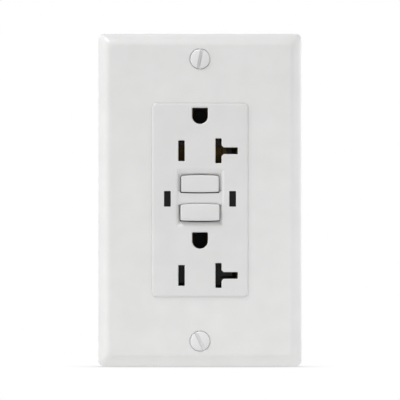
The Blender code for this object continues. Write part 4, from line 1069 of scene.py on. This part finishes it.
# ---- Studio -------------------------------------------------------------------------------------
def area_light(name, location, target, size, power, glossy=True):
    data = bpy.data.lights.new(name, "AREA")
    data.shape = "RECTANGLE"
    data.size, data.size_y = size
    data.energy = power
    light = bpy.data.objects.new(name, data)
    bpy.context.scene.collection.objects.link(light)
    light.location = location
    direction = Vector(target) - Vector(location)
    light.rotation_mode = "QUATERNION"
    light.rotation_quaternion = direction.to_track_quat("-Z", "Y")
    light.visible_camera = False
    light.visible_glossy = glossy


def studio(low, high):
    """A white sweep, soft light from above on the left, and a long lens straight in front."""
    middle = (low + high) / 2
    lower = middle - Vector((0, 0, 0.05))
    area_light("key", (-0.30, -0.20, 0.66), middle, (0.30, 0.20), 2.7)
    area_light("low_front", (0.02, -0.20, -0.15), lower, (0.20, 0.08), 0.21, glossy=False)
    area_light("left_strip", (-0.70, -0.10, 0.0), middle, (0.3, 0.9), 2.0, glossy=False)
    area_light("right_strip", (0.70, -0.10, 0.0), middle, (0.3, 0.9), 2.4, glossy=False)
    area_light("back_key", (-0.5, 0.8, 0.6), middle, (0.6, 0.5), 5.0)
    area_light("back_fill", (0.7, 0.6, 0.1), middle, (0.7, 0.7), 2.5)
    white_world()
    floor_sheet(low.z)
    camera(low, high)
    bpy.context.scene.view_settings.view_transform = "Standard"
    bpy.context.scene.view_settings.look = "None"


def white_world():
    """Pure white to the camera. As a light it is brighter above and on the left than below."""
    world = bpy.data.worlds.new("white_room")
    bpy.context.scene.world = world
    world.use_nodes = True
    n = Nodes(world.node_tree)
    seen = n.tree.nodes["Background"]
    n.fill(seen, {"Color": (1, 1, 1, 1), "Strength": 1.0})
    lean = n.node("ShaderNodeVectorMath")
    lean.operation = "DOT_PRODUCT"
    n.feed(lean.inputs[0], n.node("ShaderNodeTexCoord").outputs["Generated"])
    n.feed(lean.inputs[1], Vector((-0.45, -0.1, 0.9)).normalized())
    level = n.spread(lean.outputs["Value"], 0.24, 0.48, -1.0, 1.0)
    lit = n.node("ShaderNodeBackground", Color=(0.99, 0.995, 1.0, 1), Strength=level)
    shown = n.by_ray(seen.outputs["Background"], lit.outputs["Background"])
    n.feed(n.tree.nodes["World Output"].inputs["Surface"], shown)


def floor_sheet(level):
    """A white floor with no visible far edge, with a painted contact shadow close to the outlet, and clear
    from below.
    """
    bm = bmesh.new()
    bmesh.ops.create_grid(bm, x_segments=1, y_segments=1, size=20.0)
    bm.transform(Matrix.Translation((0, 0, level - 0.1 * MM)))
    floor = new_object("studio_floor", bm)
    s = Shader("floor_white")
    # Painted shadow: what the camera sees of the floor darkens near the outlet.
    painted_contact_shadow = s.shaded_nooks((1.0, 1.0, 1.0), (0.62, 0.62, 0.63), 14 * MM, 0.35, 1.0)
    seen = s.node("ShaderNodeEmission", Color=painted_contact_shadow, Strength=1.0).outputs["Emission"]
    # For every other ray the floor glows: painted bounce light on the outlet's lower faces.
    bounce = s.node("ShaderNodeEmission", Color=(1, 1, 1, 1), Strength=0.62).outputs["Emission"]
    to_viewer = s.node("ShaderNodeNewGeometry").outputs["Incoming"]
    upward = s.node("ShaderNodeSeparateXYZ", Vector=to_viewer).outputs["Z"]
    clear = s.node("ShaderNodeBsdfTransparent").outputs["BSDF"]
    sheet = s.either(s.spread(upward, 0.0, 1.0, -0.0001, 0.0), clear, s.by_ray(seen, bounce))
    s.feed(s.tree.nodes["Material Output"].inputs["Surface"], sheet)
    floor.data.materials.append(s.material)
    floor.visible_shadow = False         # the low front light stands under the floor


def camera(low, high):
    """Straight in front, at the height of the outlet's middle."""
    data = bpy.data.cameras.new("camera")
    distance, shown_height = 1.6, (high.z - low.z) * 1.2
    data.lens = data.sensor_width * distance / shown_height
    data.clip_start, data.clip_end = 0.05, 60
    made = bpy.data.objects.new("camera", data)
    bpy.context.scene.collection.objects.link(made)
    made.location = ((low.x + high.x) / 2, low.y - distance, (low.z + high.z) / 2)
    made.rotation_euler = (math.radians(90), 0, 0)
    bpy.context.scene.camera = made


# ---- Build ---------------------------------------------------------------------------------------
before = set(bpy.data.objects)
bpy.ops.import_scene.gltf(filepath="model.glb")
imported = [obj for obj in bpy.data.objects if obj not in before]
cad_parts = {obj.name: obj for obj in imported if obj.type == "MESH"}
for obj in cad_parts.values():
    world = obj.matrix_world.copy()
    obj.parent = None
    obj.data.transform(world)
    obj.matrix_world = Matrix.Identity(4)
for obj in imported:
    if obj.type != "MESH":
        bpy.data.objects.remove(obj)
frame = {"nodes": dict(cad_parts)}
cad_low, cad_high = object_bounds()
LOOKS = make_looks()

test, reset = cap_place("test_button"), cap_place("reset_button")
wall_plate()
plate_screw("upper", 11)
plate_screw("lower", -26)
face_cover(test, reset)
test_button(*test)
reset_button(*reset)
for label in ("left", "right"):
    indicator_lens(label)
strap()
for label in ENDS:
    mounting_screw(label)
side_screw("ground_screw", "green_screw", 25)
for circuit, turn in (("line", 12), ("load", -35)):
    side_screw(circuit + "_hot_screw", "brass_screw", turn)
    side_screw(circuit + "_neutral_screw", "nickel", turn + 20)
for corner in CORNERS:
    case_screw("case_screw_" + corner)
rear_cover()
springs()
dress_nodes(frame["nodes"])
studio(cad_low, cad_high)
